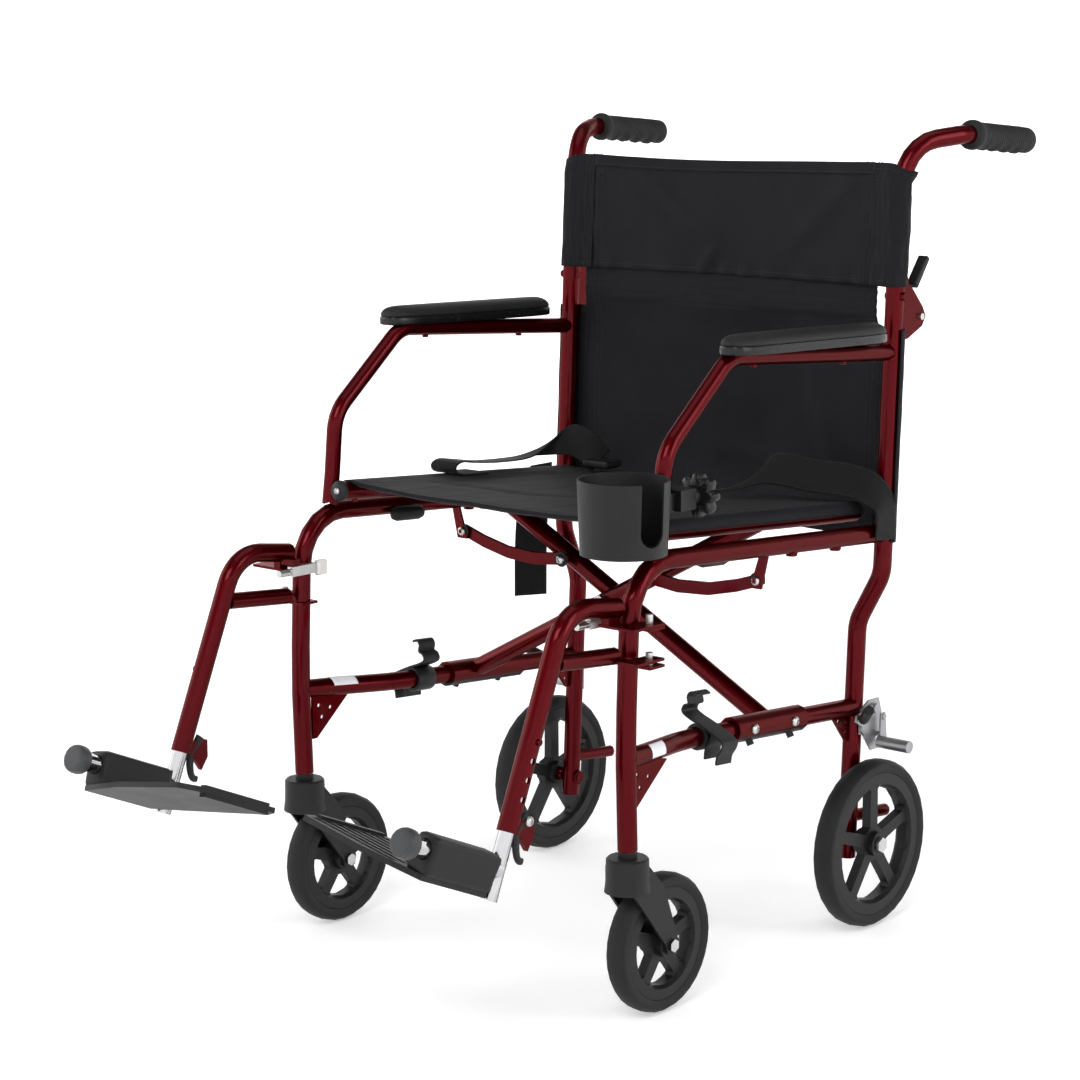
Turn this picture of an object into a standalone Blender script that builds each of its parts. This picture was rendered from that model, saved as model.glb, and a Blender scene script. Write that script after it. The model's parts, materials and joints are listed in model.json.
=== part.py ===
"""Transport wheelchair: folding cross-brace frame with swing-away footrests."""
import math

import bmesh
import bpy
from mathutils import Matrix, Vector

for old_object in list(bpy.data.objects):
    bpy.data.objects.remove(old_object, do_unlink=True)

# ---------------------------------------------------------------- driving dimensions (metres)
# +X is the occupant's left, -Y the front, +Z up. Heights are above the floor and the
# y values below are counted from the rear axle, which stands at REAR_AXLE_Y.
REAR_AXLE_Y = 0.2718
GAP = 0.0003                       # clearance left between pieces that touch
FRAME_X = 0.2485                   # side plane of each frame
FRAME_R = 0.0111                   # 22 mm frame tube
ARM_R = 0.0095                     # 19 mm arm tube
RAIL_X = 0.2200                    # lower rail and fold axis
SEAT_X = 0.2235                    # seat rail
LEG_X = 0.2190                     # rear leg
LEG_Y = -0.4514                    # front leg and caster stem
FOLD_SLOPE = -0.072                # the lower and seat rails drop towards the back
REAR_R = 0.1015
REAR_X = 0.2522
FRONT_R = 0.0780
FRONT_Y = -0.3983
TYRE_W = 0.0135                    # half width of both tyres
CROSS_A_Y = -0.1615
CROSS_B_Y = -0.1865
CENTRE_Z = 0.3920
SLEEVE_Y = (-0.235, -0.105)
BACK_PIVOT = (0.0810, 0.7263)
SWING_PIN = (0.2765, -0.4500)
HANGER_FOOT = (-0.6448, 0.2566)
HANGER_DOWN = Vector((0.0, -0.3905, -0.9206)).normalized()
HINGE_ROOT = (-0.6603, 0.2200)
HINGE_ALONG = Vector((0.0, -0.9166, 0.4000)).normalized()
HINGE_UP = Vector((0.0, 0.4000, 0.9166)).normalized()
EXTENSION_R = 0.0090
GRIP_R = 0.0155
CUP_Y = -0.4585
CUP_R = 0.0495
KNOB_X = 0.2603
KNOB_Z = 0.5675

# ---------------------------------------------------------------- collections and materials
parts = bpy.data.collections.new("transport_wheelchair")
cutters = bpy.data.collections.new("cutters")
bpy.context.scene.collection.children.link(parts)
bpy.context.scene.collection.children.link(cutters)


def material(name, colour, roughness, metallic):
    look = bpy.data.materials.new(name)
    look.use_nodes = True
    shader = look.node_tree.nodes["Principled BSDF"]
    shader.inputs["Base Color"].default_value = (*colour, 1.0)
    shader.inputs["Roughness"].default_value = roughness
    shader.inputs["Metallic"].default_value = metallic
    return look


PALETTE = {
    "red_paint": ((0.30, 0.012, 0.018), 0.28, 0.6),
    "chrome": ((0.80, 0.80, 0.80), 0.12, 1.0),
    "zinc": ((0.60, 0.60, 0.58), 0.35, 1.0),
    "aluminium": ((0.45, 0.45, 0.46), 0.45, 1.0),
    "black_plastic": ((0.020, 0.020, 0.022), 0.5, 0.0),
    "tyre_rubber": ((0.05, 0.05, 0.05), 0.8, 0.0),
    "pad_foam": ((0.018, 0.018, 0.018), 0.7, 0.0),
    "nylon": ((0.015, 0.015, 0.017), 0.85, 0.0),
    "webbing": ((0.020, 0.020, 0.020), 0.8, 0.0),
}


# ---------------------------------------------------------------- shape helpers
def at(side, x, y, z):
    """World point for a point measured from the rear axle, mirrored for the right side."""
    return Vector((side * x, y + REAR_AXLE_Y, z))


def mesh_object(name, mesh):
    made = bpy.data.objects.new(name, mesh)
    cutters.objects.link(made)
    made.hide_render = True
    made.display_type = "WIRE"
    return made


def solid(name, bm):
    bmesh.ops.recalc_face_normals(bm, faces=bm.faces)
    if bm.calc_volume(signed=True) < 0:
        bmesh.ops.reverse_faces(bm, faces=bm.faces)
    mesh = bpy.data.meshes.new(name)
    bm.to_mesh(mesh)
    bm.free()
    return mesh_object(name, mesh)


def bent(points, radii, steps=5):
    """Polyline through the points with an arc of the given radius at each inner corner."""
    path = [points[0]]
    for before, corner, after, radius in zip(points, points[1:], points[2:], radii):
        towards_before = (before - corner).normalized()
        towards_after = (after - corner).normalized()
        half = towards_before.angle(towards_after) / 2
        centre = corner + (towards_before + towards_after).normalized() * radius / math.sin(half)
        start = corner + towards_before * radius / math.tan(half) - centre
        end = corner + towards_after * radius / math.tan(half) - centre
        sweep = start.angle(end)
        for step in range(steps + 1):
            f = step / steps
            arc = start * math.sin((1 - f) * sweep) + end * math.sin(f * sweep)
            path.append(centre + arc / math.sin(sweep))
    path.append(points[-1])
    return path


def tube(name, path, radius, sides=12):
    """Round bar along a path: a bevelled poly curve turned into a closed mesh."""
    curve = bpy.data.curves.new(name, "CURVE")
    curve.dimensions = "3D"
    curve.resolution_u = 1
    curve.bevel_depth = radius
    curve.bevel_resolution = sides // 2 - 2
    curve.use_fill_caps = True
    spline = curve.splines.new("POLY")
    spline.points.add(len(path) - 1)
    for point, place in zip(spline.points, path):
        point.co = (*place, 1.0)
    holder = bpy.data.objects.new(name, curve)
    cutters.objects.link(holder)
    graph = bpy.context.evaluated_depsgraph_get()
    mesh = bpy.data.meshes.new_from_object(holder.evaluated_get(graph))
    bpy.data.objects.remove(holder, do_unlink=True)
    bm = bmesh.new()
    bm.from_mesh(mesh)
    bmesh.ops.remove_doubles(bm, verts=bm.verts, dist=1e-5)
    return solid(name, bm)


def rod(name, start, end, radius, sides=12):
    bm = bmesh.new()
    along = end - start
    bmesh.ops.create_cone(bm, cap_ends=True, segments=sides, radius1=radius, radius2=radius,
                          depth=along.length)
    turn = along.to_track_quat("Z", "Y").to_matrix().to_4x4()
    bm.transform(Matrix.Translation((start + end) / 2) @ turn)
    return solid(name, bm)


def block(name, side, x, y, z):
    """Box between pairs of limits, mirrored for the right side."""
    low = at(side, x[0], y[0], z[0])
    high = at(side, x[1], y[1], z[1])
    bm = bmesh.new()
    bmesh.ops.create_cube(bm, size=1.0)
    size = Vector([abs(b - a) for a, b in zip(low, high)])
    bm.transform(Matrix.Translation((low + high) / 2) @ Matrix.Diagonal((*size, 1.0)))
    return solid(name, bm)


def prism(name, near_face, offset):
    """Flat outline pushed through by an offset vector."""
    bm = bmesh.new()
    face = bm.faces.new([bm.verts.new(point) for point in near_face])
    pushed = bmesh.ops.extrude_face_region(bm, geom=[face])
    moved = [item for item in pushed["geom"] if isinstance(item, bmesh.types.BMVert)]
    bmesh.ops.translate(bm, verts=moved, vec=offset)
    return solid(name, bm)


def side_plate(name, side, x, outline):
    """Plate standing in a side plane; the outline is in (y, z)."""
    return prism(name, [at(side, x[0], y, z) for y, z in outline],
                 Vector((side * (x[1] - x[0]), 0, 0)))


def cross_plate(name, side, y, outline):
    """Plate standing across the chair; the outline is in (x, z)."""
    return prism(name, [at(side, x, y[0], z) for x, z in outline], Vector((0, y[1] - y[0], 0)))


def level_plate(name, side, z, outline):
    """Plate lying level; the outline is in (x, y)."""
    return prism(name, [at(side, x, y, z[0]) for x, y in outline], Vector((0, 0, z[1] - z[0])))


def turned(name, profile, place, direction, steps=32):
    """Profile of (radius, height) pairs turned about a direction through a place."""
    bm = bmesh.new()
    ring = [bm.verts.new((radius, 0, height)) for radius, height in profile]
    for first, second in zip(ring, ring[1:]):
        bm.edges.new((first, second))
    if profile[0][0] > 0:
        bm.edges.new((ring[-1], ring[0]))
    mesh = bpy.data.meshes.new(name)
    bm.to_mesh(mesh)
    bm.free()
    made = mesh_object(name, mesh)
    made.location = place
    made.rotation_mode = "QUATERNION"
    made.rotation_quaternion = direction.to_track_quat("Z", "Y")
    screw = made.modifiers.new("turn", "SCREW")
    screw.steps = steps
    screw.render_steps = steps
    screw.use_merge_vertices = True
    screw.merge_threshold = 1e-5
    screw.use_normal_calculate = True
    return made


def soften(made, width, segments=2):
    bevel = made.modifiers.new("soften", "BEVEL")
    bevel.width = width
    bevel.segments = segments
    bevel.limit_method = "ANGLE"
    return made


def combine(body, adds=(), cuts=()):
    """Boolean modifiers on a body: first what is added, then what is cut away."""
    for operation, tools in (("UNION", adds), ("DIFFERENCE", cuts)):
        for tool in tools:
            step = body.modifiers.new(operation.lower(), "BOOLEAN")
            step.operation = operation
            step.object = tool
            step.solver = "EXACT"
    return body


def finish(body, name, look, origin=None):
    """Names a body, gives it its material and moves it to the parts collection."""
    body.name = name
    body.hide_render = False
    body.display_type = "TEXTURED"
    cutters.objects.unlink(body)
    parts.objects.link(body)
    body.data.materials.append(LOOKS[look])
    if origin is not None:
        body.data.transform(Matrix.Translation(-origin))
        body.location = origin
    return body


LOOKS = {name: material(name, *values) for name, values in PALETTE.items()}


# ---------------------------------------------------------------- shared lines
def side_rail_z(y):
    return 0.4996 - 0.0655 * (y + 0.3583)


def post_y(z):
    return 0.0275 + 0.05 * (z - 0.545)


def leg_y(z):
    return 0.001 + 0.055 * (z - 0.1015)


def lower_rail_z(y):
    return 0.2745 + FOLD_SLOPE * (y + 0.17)


def seat_rail_z(y):
    return 0.512 + FOLD_SLOPE * (y + 0.17)


def arm_z(y):
    return 0.7092 - 0.07 * (y + 0.2788)


def cope(name, start, end, radius):
    """Cutter that fits a tube end round another tube with a small gap."""
    return rod(name, start, end, radius + 0.0006)


# ---------------------------------------------------------------- frame sides
def side_tube(side, tag):
    """Front leg and upper side rail in one bent tube, with its footrest pin plates."""
    corner_z = side_rail_z(-0.4465)
    points = [at(side, FRAME_X, LEG_Y, 0.1935), at(side, FRAME_X, -0.4545, 0.290),
              at(side, FRAME_X, -0.4535, 0.350), at(side, FRAME_X, -0.4465, corner_z),
              at(side, FRAME_X, 0.024, side_rail_z(0.024))]
    body = tube(tag, bent(points, (0.3, 0.3, 0.062)), FRAME_R)
    adds = []
    for number, z in enumerate((0.3985, 0.4395)):
        outline = ((0.2345, -0.463), (0.2880, -0.463), (0.2880, -0.438), (0.2345, -0.438))
        adds.append(level_plate(tag + "_pin_plate%d" % number, side, (z, z + 0.003), outline))
        pin = [at(side, *SWING_PIN, z + 0.001), at(side, *SWING_PIN, z + 0.016)]
        adds.append(rod(tag + "_pin%d" % number, *pin, 0.004))
    tab_y = -0.2110 if side > 0 else -0.1865
    outline = ((0.2280, 0.441), (0.2435, 0.441), (0.2540, 0.487), (0.2430, 0.487))
    adds.append(cross_plate(tag + "_tab", side, (tab_y, tab_y + 0.003), outline))
    adds.append(rod(tag + "_tab_pin", at(side, 0.236, tab_y - 0.003, 0.450),
                    at(side, 0.236, tab_y + 0.0125, 0.450), 0.0035))
    post = cope(tag + "_post", at(side, FRAME_X, post_y(0.42), 0.42),
                at(side, FRAME_X, post_y(0.54), 0.54), FRAME_R)
    stem = rod(tag + "_stem_bore", at(side, FRAME_X, LEG_Y, 0.185),
               at(side, FRAME_X, LEG_Y, 0.216), 0.0068)
    combine(body, adds, (post, stem))
    return finish(body, tag, "red_paint")


def back_post(side, tag):
    """Rear leg and back post with the rear axle, tipping peg and back hinge cheeks."""
    points = [at(side, LEG_X, leg_y(0.0775), 0.0775), at(side, LEG_X, leg_y(0.365), 0.365),
              at(side, FRAME_X, post_y(0.425), 0.425), at(side, FRAME_X, post_y(0.7645), 0.7645)]
    body = tube(tag, bent(points, (0.05, 0.05)), FRAME_R)
    adds = [rod(tag + "_axle", at(side, 0.2035, 0, REAR_R), at(side, 0.2705, 0, REAR_R), 0.006),
            rod(tag + "_nut", at(side, 0.2045, 0, REAR_R), at(side, 0.2090, 0, REAR_R), 0.0095, 6),
            rod(tag + "_spacer", at(side, 0.2290, 0, REAR_R), at(side, 0.2375, 0, REAR_R), 0.009),
            rod(tag + "_head", at(side, 0.2672, 0, REAR_R), at(side, 0.2715, 0, REAR_R), 0.0095, 6),
            rod(tag + "_peg", at(side, LEG_X, leg_y(0.127), 0.127),
                at(side, LEG_X, 0.080, 0.119), 0.0075, 12)]
    outline = ((0.0300, 0.7000), (0.0560, 0.7020), (0.0860, 0.7150), (0.0930, 0.7263),
               (0.0860, 0.7380), (0.0620, 0.7630), (0.0300, 0.7635))
    for number, x in enumerate((0.0045, -0.0070)):
        cheek = (FRAME_X + x, FRAME_X + x + 0.0025)
        adds.append(side_plate(tag + "_cheek%d" % number, side, cheek, outline))
    adds.append(rod(tag + "_hinge_pin", at(side, FRAME_X - 0.0105, *BACK_PIVOT),
                    at(side, FRAME_X + 0.0105, *BACK_PIVOT), 0.004))
    adds.append(rod(tag + "_front_bolt", at(side, FRAME_X - 0.0118, post_y(0.7529), 0.7529),
                    at(side, FRAME_X + 0.0150, post_y(0.7529), 0.7529), 0.005, 6))
    combine(body, adds)
    return finish(body, tag, "red_paint")


def lower_rail(side, tag):
    """Lower rail, swept inboard behind the front leg, with a gusset at each end."""
    places = ((0.2485, -0.454), (0.2430, -0.417), (0.2250, -0.340), (RAIL_X, -0.300),
              (RAIL_X, 0.010))
    points = [at(side, x, y, lower_rail_z(y)) for x, y in places]
    body = tube(tag, bent(points, (0.08, 0.2, 0.08), 3), FRAME_R)
    front = ((-0.3800, 0.2800), (-0.4350, 0.2330), (-0.4418, 0.2330), (-0.4418, 0.2930))
    rear = ((-0.0420, 0.2620), (-0.0090, 0.2220), (-0.0042, 0.2220), (-0.0022, 0.2600))
    adds = [side_plate(tag + "_front_gusset", side, (0.2425, 0.2455), front),
            side_plate(tag + "_rear_gusset", side, (0.2185, 0.2215), rear)]
    cuts = [cope(tag + "_front_leg", at(side, FRAME_X, -0.4548, 0.26),
                 at(side, FRAME_X, -0.4545, 0.33), FRAME_R),
            cope(tag + "_rear_leg", at(side, LEG_X, leg_y(0.20), 0.20),
                 at(side, LEG_X, leg_y(0.30), 0.30), FRAME_R)]
    holes = ((0.244, -0.412, 0.2665), (0.244, -0.426, 0.257), (0.244, -0.431, 0.272),
             (0.220, -0.024, 0.250), (0.220, -0.010, 0.245), (0.220, -0.011, 0.234))
    for number, (x, y, z) in enumerate(holes):
        cuts.append(rod(tag + "_hole%d" % number, at(side, x - 0.006, y, z),
                        at(side, x + 0.006, y, z), 0.0028, 8))
    combine(body, adds, cuts)
    return finish(body, tag, "red_paint")


def arm_path(side):
    points = [at(side, FRAME_X, -0.4028, 0.5025), at(side, FRAME_X, -0.3964, 0.549),
              at(side, FRAME_X, -0.390, 0.617), at(side, FRAME_X, -0.2788, 0.7092),
              at(side, FRAME_X, 0.0346, arm_z(0.0346))]
    return bent(points, (0.2, 0.05, 0.045))


def arm_tube(side, tag):
    body = tube(tag, arm_path(side), ARM_R)
    adds = [rod(tag + "_screw%d" % number, at(side, FRAME_X, y, arm_z(y) - 0.012),
                at(side, FRAME_X, y, arm_z(y) - 0.004), 0.0038, 8)
            for number, y in enumerate((-0.235, -0.065))]
    cuts = [cope(tag + "_rail", at(side, FRAME_X, -0.43, side_rail_z(-0.43)),
                 at(side, FRAME_X, -0.37, side_rail_z(-0.37)), FRAME_R),
            cope(tag + "_post", at(side, FRAME_X, post_y(0.64), 0.64),
                 at(side, FRAME_X, post_y(0.73), 0.73), FRAME_R)]
    combine(body, adds, cuts)
    return finish(body, tag, "red_paint")


def arm_pad(side, tag):
    """Padded armrest, grooved underneath where it sits on the arm tube."""
    outline = ((-0.295, 0.7125), (-0.005, 0.7045), (-0.005, 0.7255), (-0.295, 0.7325))
    pad = side_plate(tag, side, (FRAME_X - 0.0132, FRAME_X + 0.0315), outline)
    soften(pad, 0.006, 2)
    combine(pad, (), (tube(tag + "_groove", arm_path(side), ARM_R + 0.0007),))
    return finish(pad, tag, "pad_foam")


def rail_clip(side, tag):
    """Ring round the lower rail with a block outside it and a hook that rises."""
    ends = [at(side, RAIL_X + 0.0008, y, lower_rail_z(y)) for y in (-0.297, -0.268)]
    reach = (ends[1] - ends[0]) * 0.2
    body = rod(tag, *ends, 0.0152)
    hook = tube(tag + "_hook", [at(side, 0.2385, -0.2825, 0.262), at(side, 0.2385, -0.2825, 0.300),
                                at(side, 0.2330, -0.2825, 0.318)], 0.0038, 8)
    foot = block(tag + "_foot", side, (0.2230, 0.2405), (-0.295, -0.270), (0.2480, 0.2780))
    bore = rod(tag + "_bore", ends[0] - reach, ends[1] + reach, FRAME_R + 0.0012)
    combine(body, (foot, hook), (bore,))
    return finish(body, tag, "black_plastic")


# ---------------------------------------------------------------- wheels and casters
def tyre(side, tag, radius, centre):
    """Solid tyre with a crowned tread."""
    depth = 0.0150
    profile = [(radius - depth, 0.0110), (radius - 0.0090, TYRE_W), (radius - 0.0045, 0.0128),
               (radius - 0.0010, 0.0080), (radius, 0.0), (radius - 0.0010, -0.0080),
               (radius - 0.0045, -0.0128), (radius - 0.0090, -TYRE_W),
               (radius - depth, -0.0110)]
    return finish(turned(tag, profile, centre, Vector((side, 0, 0)), 32), tag, "tyre_rubber")


def wheel(side, tag, radius, opening, centre, hub_half, bore):
    """Five-spoke wheel: a turned rim, web and hub with five windows cut through the web."""
    rim = radius - 0.0150 - GAP
    hub = 0.0150
    profile = [(bore, hub_half), (hub, hub_half), (hub, 0.0060), (opening, 0.0060),
               (opening + 0.0030, 0.0112), (rim, 0.0108), (rim, -0.0108),
               (opening + 0.0030, -0.0112), (opening, -0.0060), (hub, -0.0060),
               (hub, -hub_half), (bore, -hub_half)]
    body = turned(tag, profile, centre, Vector((side, 0, 0)), 32)
    inner = hub + 0.0065
    spoke = 0.0075
    bm = bmesh.new()
    for number in range(5):
        middle = math.radians(90 + 36 + 72 * number)
        outer_half = math.radians(36) - math.asin(spoke / opening)
        inner_half = math.radians(36) - math.asin(spoke / inner)
        outline = [(opening - 0.004, -outer_half), (opening, 0.05 - outer_half), (opening, 0.0),
                   (opening, outer_half - 0.05), (opening - 0.004, outer_half),
                   (inner, inner_half), (inner, -inner_half)]
        ring = [Vector((-0.03, r * math.cos(middle + a), r * math.sin(middle + a)))
                for r, a in outline]
        face = bm.faces.new([bm.verts.new(centre + point) for point in ring])
        pushed = bmesh.ops.extrude_face_region(bm, geom=[face])
        moved = [item for item in pushed["geom"] if isinstance(item, bmesh.types.BMVert)]
        bmesh.ops.translate(bm, verts=moved, vec=Vector((0.06, 0, 0)))
    combine(body, (), (solid(tag + "_windows", bm),))
    return finish(body, tag, "black_plastic")


def caster_fork(side, tag):
    """Fork with a round crown, two raked legs, the stem above and the wheel axle below."""
    stem = at(side, FRAME_X, LEG_Y, 0.0)
    profile = [(0.0, 0.1860), (0.0215, 0.1860), (0.0235, 0.1840), (0.0240, 0.1600),
               (0.0255, 0.1480), (0.0, 0.1480)]
    body = turned(tag, profile, stem, Vector((0, 0, 1)), 24)
    front = LEG_Y - 0.0130
    outline = ((front, 0.1760), (front, 0.1490), (FRONT_Y - 0.0110, 0.0800),
               (FRONT_Y - 0.0085, 0.0705), (FRONT_Y, 0.0670), (FRONT_Y + 0.0085, 0.0705),
               (FRONT_Y + 0.0110, 0.0800), (LEG_Y + 0.0380, 0.1490), (LEG_Y + 0.0130, 0.1760))
    adds = []
    for number, x in enumerate((0.0168, -0.0203)):
        adds.append(side_plate(tag + "_leg%d" % number, side,
                               (FRAME_X + x, FRAME_X + x + 0.0035), outline))
        end = FRAME_X + x + 0.0035 / 2 + math.copysign(0.0050, x)
        adds.append(rod(tag + "_head%d" % number, at(side, FRAME_X + x + 0.001, FRONT_Y, FRONT_R),
                        at(side, end, FRONT_Y, FRONT_R), 0.0075, 6))
    adds.append(rod(tag + "_axle", at(side, FRAME_X - 0.019, FRONT_Y, FRONT_R),
                    at(side, FRAME_X + 0.019, FRONT_Y, FRONT_R), 0.0045))
    adds.append(rod(tag + "_stem", stem + Vector((0, 0, 0.18)), stem + Vector((0, 0, 0.214)),
                    0.0058))
    adds.append(rod(tag + "_bearing", stem + Vector((0, 0, 0.18)), stem + Vector((0, 0, 0.1925)),
                    0.0105))
    room = rod(tag + "_wheel_room", at(side, FRAME_X - 0.0168, FRONT_Y, FRONT_R),
               at(side, FRAME_X + 0.0168, FRONT_Y, FRONT_R), FRONT_R + 0.0035, 48)
    body.modifiers.new("wheel room", "BOOLEAN")
    body.modifiers["wheel room"].operation = "DIFFERENCE"
    body.modifiers["wheel room"].object = room
    body.modifiers["wheel room"].solver = "EXACT"
    combine(body, adds)
    return finish(body, tag, "black_plastic")


# ---------------------------------------------------------------- footrests
def hanger_path(side):
    points = [at(side, FRAME_X, -0.4690, 0.4612), at(side, FRAME_X, -0.553, 0.473),
              at(side, FRAME_X, *HANGER_FOOT)]
    return bent(points, (0.048,), 7)


def footrest_hanger(side, tag):
    """Swing-away hanger: bent tube, strut, two hinge tabs and the bored lower end."""
    body = tube(tag, hanger_path(side), FRAME_R)
    foot = at(side, FRAME_X, *HANGER_FOOT)
    adds = [tube(tag + "_strut", [at(side, FRAME_X, -0.566, 0.4185),
                                  at(side, FRAME_X, -0.474, 0.4105)], 0.0095)]
    upper = ((0.2400, -0.4900), (0.2885, -0.4900), (0.2885, -0.4390), (0.2670, -0.4390),
             (0.2670, -0.4700), (0.2400, -0.4700))
    lower = ((0.2430, -0.4850), (0.2885, -0.4850), (0.2885, -0.4390), (0.2670, -0.4390),
             (0.2670, -0.4700), (0.2430, -0.4700))
    adds.append(level_plate(tag + "_tab_up", side, (0.4430, 0.4460), upper))
    adds.append(level_plate(tag + "_tab_low", side, (0.4055, 0.4085), lower))
    adds.append(block(tag + "_web", side, (0.2435, 0.2535), (-0.4890, -0.4710), (0.4450, 0.4560)))
    adds.append(block(tag + "_latch_arm", side, (0.2225, 0.2460), (-0.4880, -0.4760),
                      (0.4508, 0.4580)))
    button = foot - HANGER_DOWN * 0.0959
    outboard = Vector((side, 0, 0))
    adds.append(rod(tag + "_button", button + outboard * 0.0104, button + outboard * 0.0135,
                    0.0036, 12))
    adds.append(side_plate(tag + "_lug", side, (FRAME_X - 0.003, FRAME_X + 0.003),
                           ((-0.6380, 0.2660), (-0.6060, 0.2640), (-0.6060, 0.2440),
                            (-0.6160, 0.2300), (-0.6240, 0.2420), (-0.6345, 0.2580))))
    cuts = [rod(tag + "_bore", foot + HANGER_DOWN * 0.02, foot - HANGER_DOWN * 0.130, 0.0096, 18)]
    for number, along in enumerate((0.0352, 0.0555, 0.0757)):
        place = foot - HANGER_DOWN * along
        cuts.append(rod(tag + "_hole%d" % number, place + outboard * 0.006,
                        place + outboard * 0.016, 0.0035, 12))
    for number, z in enumerate((0.400, 0.440)):
        cuts.append(rod(tag + "_pin_hole%d" % number, at(side, *SWING_PIN, z),
                        at(side, *SWING_PIN, z + 0.012), 0.0047))
    combine(body, adds, cuts)
    return finish(body, tag, "red_paint", at(side, *SWING_PIN, 0.4245))


def footrest_tube(side, tag):
    """Chrome height tube with the footplate hinge tube and its knob."""
    foot = at(side, FRAME_X, *HANGER_FOOT)
    root = at(side, FRAME_X, *HINGE_ROOT)
    body = tube(tag, [foot - HANGER_DOWN * 0.120, foot + HANGER_DOWN * 0.0715], EXTENSION_R)
    hinge = tube(tag + "_hinge", [root, root + HINGE_ALONG * 0.137], FRAME_R - 0.0006)
    knob = soften(rod(tag + "_knob", root + HINGE_ALONG * 0.1345,
                      root + HINGE_ALONG * 0.1525, 0.0160, 16), 0.005, 2)
    combine(body, (hinge, knob))
    return finish(body, tag, "chrome")


def footplate_frame(side):
    """Matrix whose x runs inboard along the tilted plate, y along the hinge and z up."""
    tilt = math.radians(10)
    inboard = Vector((-side, 0, 0)) * math.cos(tilt) + HINGE_UP * math.sin(tilt)
    up = HINGE_UP * math.cos(tilt) + Vector((side, 0, 0)) * math.sin(tilt)
    frame = Matrix((inboard, HINGE_ALONG, up)).transposed().to_4x4()
    frame.translation = at(side, FRAME_X, *HINGE_ROOT)
    return frame


def footplate(side, tag):
    """Footplate with a rim, grooves and the sleeve that turns on the hinge tube."""
    frame = footplate_frame(side)

    def slab(name, x, y, z):
        outline = [frame @ Vector(corner) for corner in
                   ((x[0], y[0], z[0]), (x[1], y[0], z[0]), (x[1], y[1], z[0]), (x[0], y[1], z[0]))]
        return prism(name, outline, frame.to_3x3() @ Vector((0, 0, z[1] - z[0])))

    grooves = bmesh.new()
    for y in (0.012, 0.030, 0.048, 0.066, 0.084, 0.102, 0.120):
        made = bmesh.ops.create_cube(grooves, size=1.0)
        place = Matrix.Translation((0.088, y, -0.0225)) @ Matrix.Diagonal((0.122, 0.012, 0.003, 1.0))
        bmesh.ops.transform(grooves, matrix=frame @ place, verts=made["verts"])

    outline = [(-0.012, 0.014), (0.030, 0.004), (0.144, -0.016), (0.162, -0.006), (0.164, 0.108),
               (0.150, 0.134), (0.060, 0.136), (0.010, 0.122), (-0.012, 0.116)]
    body = prism(tag, [frame @ Vector((x, y, -0.0290)) for x, y in outline],
                 frame.to_3x3() @ Vector((0, 0, 0.0060)))
    sleeve = slab(tag + "_sleeve", (-0.0155, 0.0155), (0.0125, 0.117), (-0.0250, 0.0165))
    soften(sleeve, 0.006, 2)
    rim = slab(tag + "_rim", (0.1550, 0.1625), (0.004, 0.104), (-0.0330, -0.0200))
    root = at(side, FRAME_X, *HINGE_ROOT)
    bore = rod(tag + "_bore", root, root + HINGE_ALONG * 0.130, FRAME_R)
    combine(body, (sleeve, rim), (bore, solid(tag + "_grooves", grooves)))
    return finish(body, tag, "black_plastic", root)


def footrest_latch(side, tag):
    """Release lever on the inboard side of the hanger."""
    place = at(side, 0.2255, -0.4820, 0.4440)
    body = block(tag, side, (0.2215, 0.2295), (-0.490, -0.446), (0.4385, 0.4500))
    paddle = soften(block(tag + "_paddle", side, (0.2175, 0.2265), (-0.452, -0.436),
                          (0.4350, 0.4530)), 0.002, 1)
    nose = rod(tag + "_nose", at(side, 0.2255, -0.492, 0.4440), at(side, 0.2255, -0.508, 0.4440),
               0.0042, 12)
    neck = rod(tag + "_neck", at(side, 0.2255, -0.484, 0.4440), at(side, 0.2255, -0.494, 0.4440),
               0.0030, 12)
    combine(body, (paddle, neck, nose))
    return finish(body, tag, "zinc", place)


# ---------------------------------------------------------------- back
def push_tube(side, tag):
    """Folding upper half of the back post with its hinge plate and bent handle."""
    points = [at(side, FRAME_X, 0.0386, 0.7652), at(side, FRAME_X, 0.0455, 0.885),
              at(side, 0.2560, 0.0620, 0.930), at(side, 0.2842, 0.1237, 0.9382),
              at(side, 0.2839, 0.2539, 0.9275)]
    body = tube(tag, bent(points, (0.05, 0.05, 0.04), 4), FRAME_R)
    outline = ((0.0400, 0.7700), (0.0400, 0.8020), (0.0520, 0.8000), (0.0640, 0.7660),
               (0.0905, 0.7380), (0.0930, 0.7263), (0.0860, 0.7150), (0.0720, 0.7160),
               (0.0620, 0.7400), (0.0530, 0.7660))
    plate = side_plate(tag + "_plate", side, (FRAME_X - 0.0022, FRAME_X + 0.0022), outline)
    hole = rod(tag + "_pivot_hole", at(side, FRAME_X - 0.012, *BACK_PIVOT),
               at(side, FRAME_X + 0.012, *BACK_PIVOT), 0.0046)
    combine(body, (plate,), (hole,))
    return finish(body, tag, "red_paint", at(side, FRAME_X, *BACK_PIVOT))


def grip(side, tag):
    """Ribbed hand grip pushed over the handle end."""
    start = at(side, 0.2842, 0.1340, 0.9374)
    along = (at(side, 0.2839, 0.2539, 0.9275) - at(side, 0.2842, 0.1237, 0.9382)).normalized()
    bore = FRAME_R + 0.0006
    profile = [(0.0, 0.130), (0.0135, 0.130), (GRIP_R, 0.127)]
    for height in (0.094, 0.062, 0.030):
        profile += [(GRIP_R, height + 0.009), (GRIP_R - 0.0012, height + 0.005),
                    (GRIP_R, height + 0.001)]
    profile += [(GRIP_R, 0.010), (0.0175, 0.008), (0.0175, 0.002), (0.0155, 0.0), (bore, 0.0),
                (bore, 0.1225), (0.0, 0.1225)]
    return finish(turned(tag, profile, start, along, 16), tag, "black_plastic")


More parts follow.
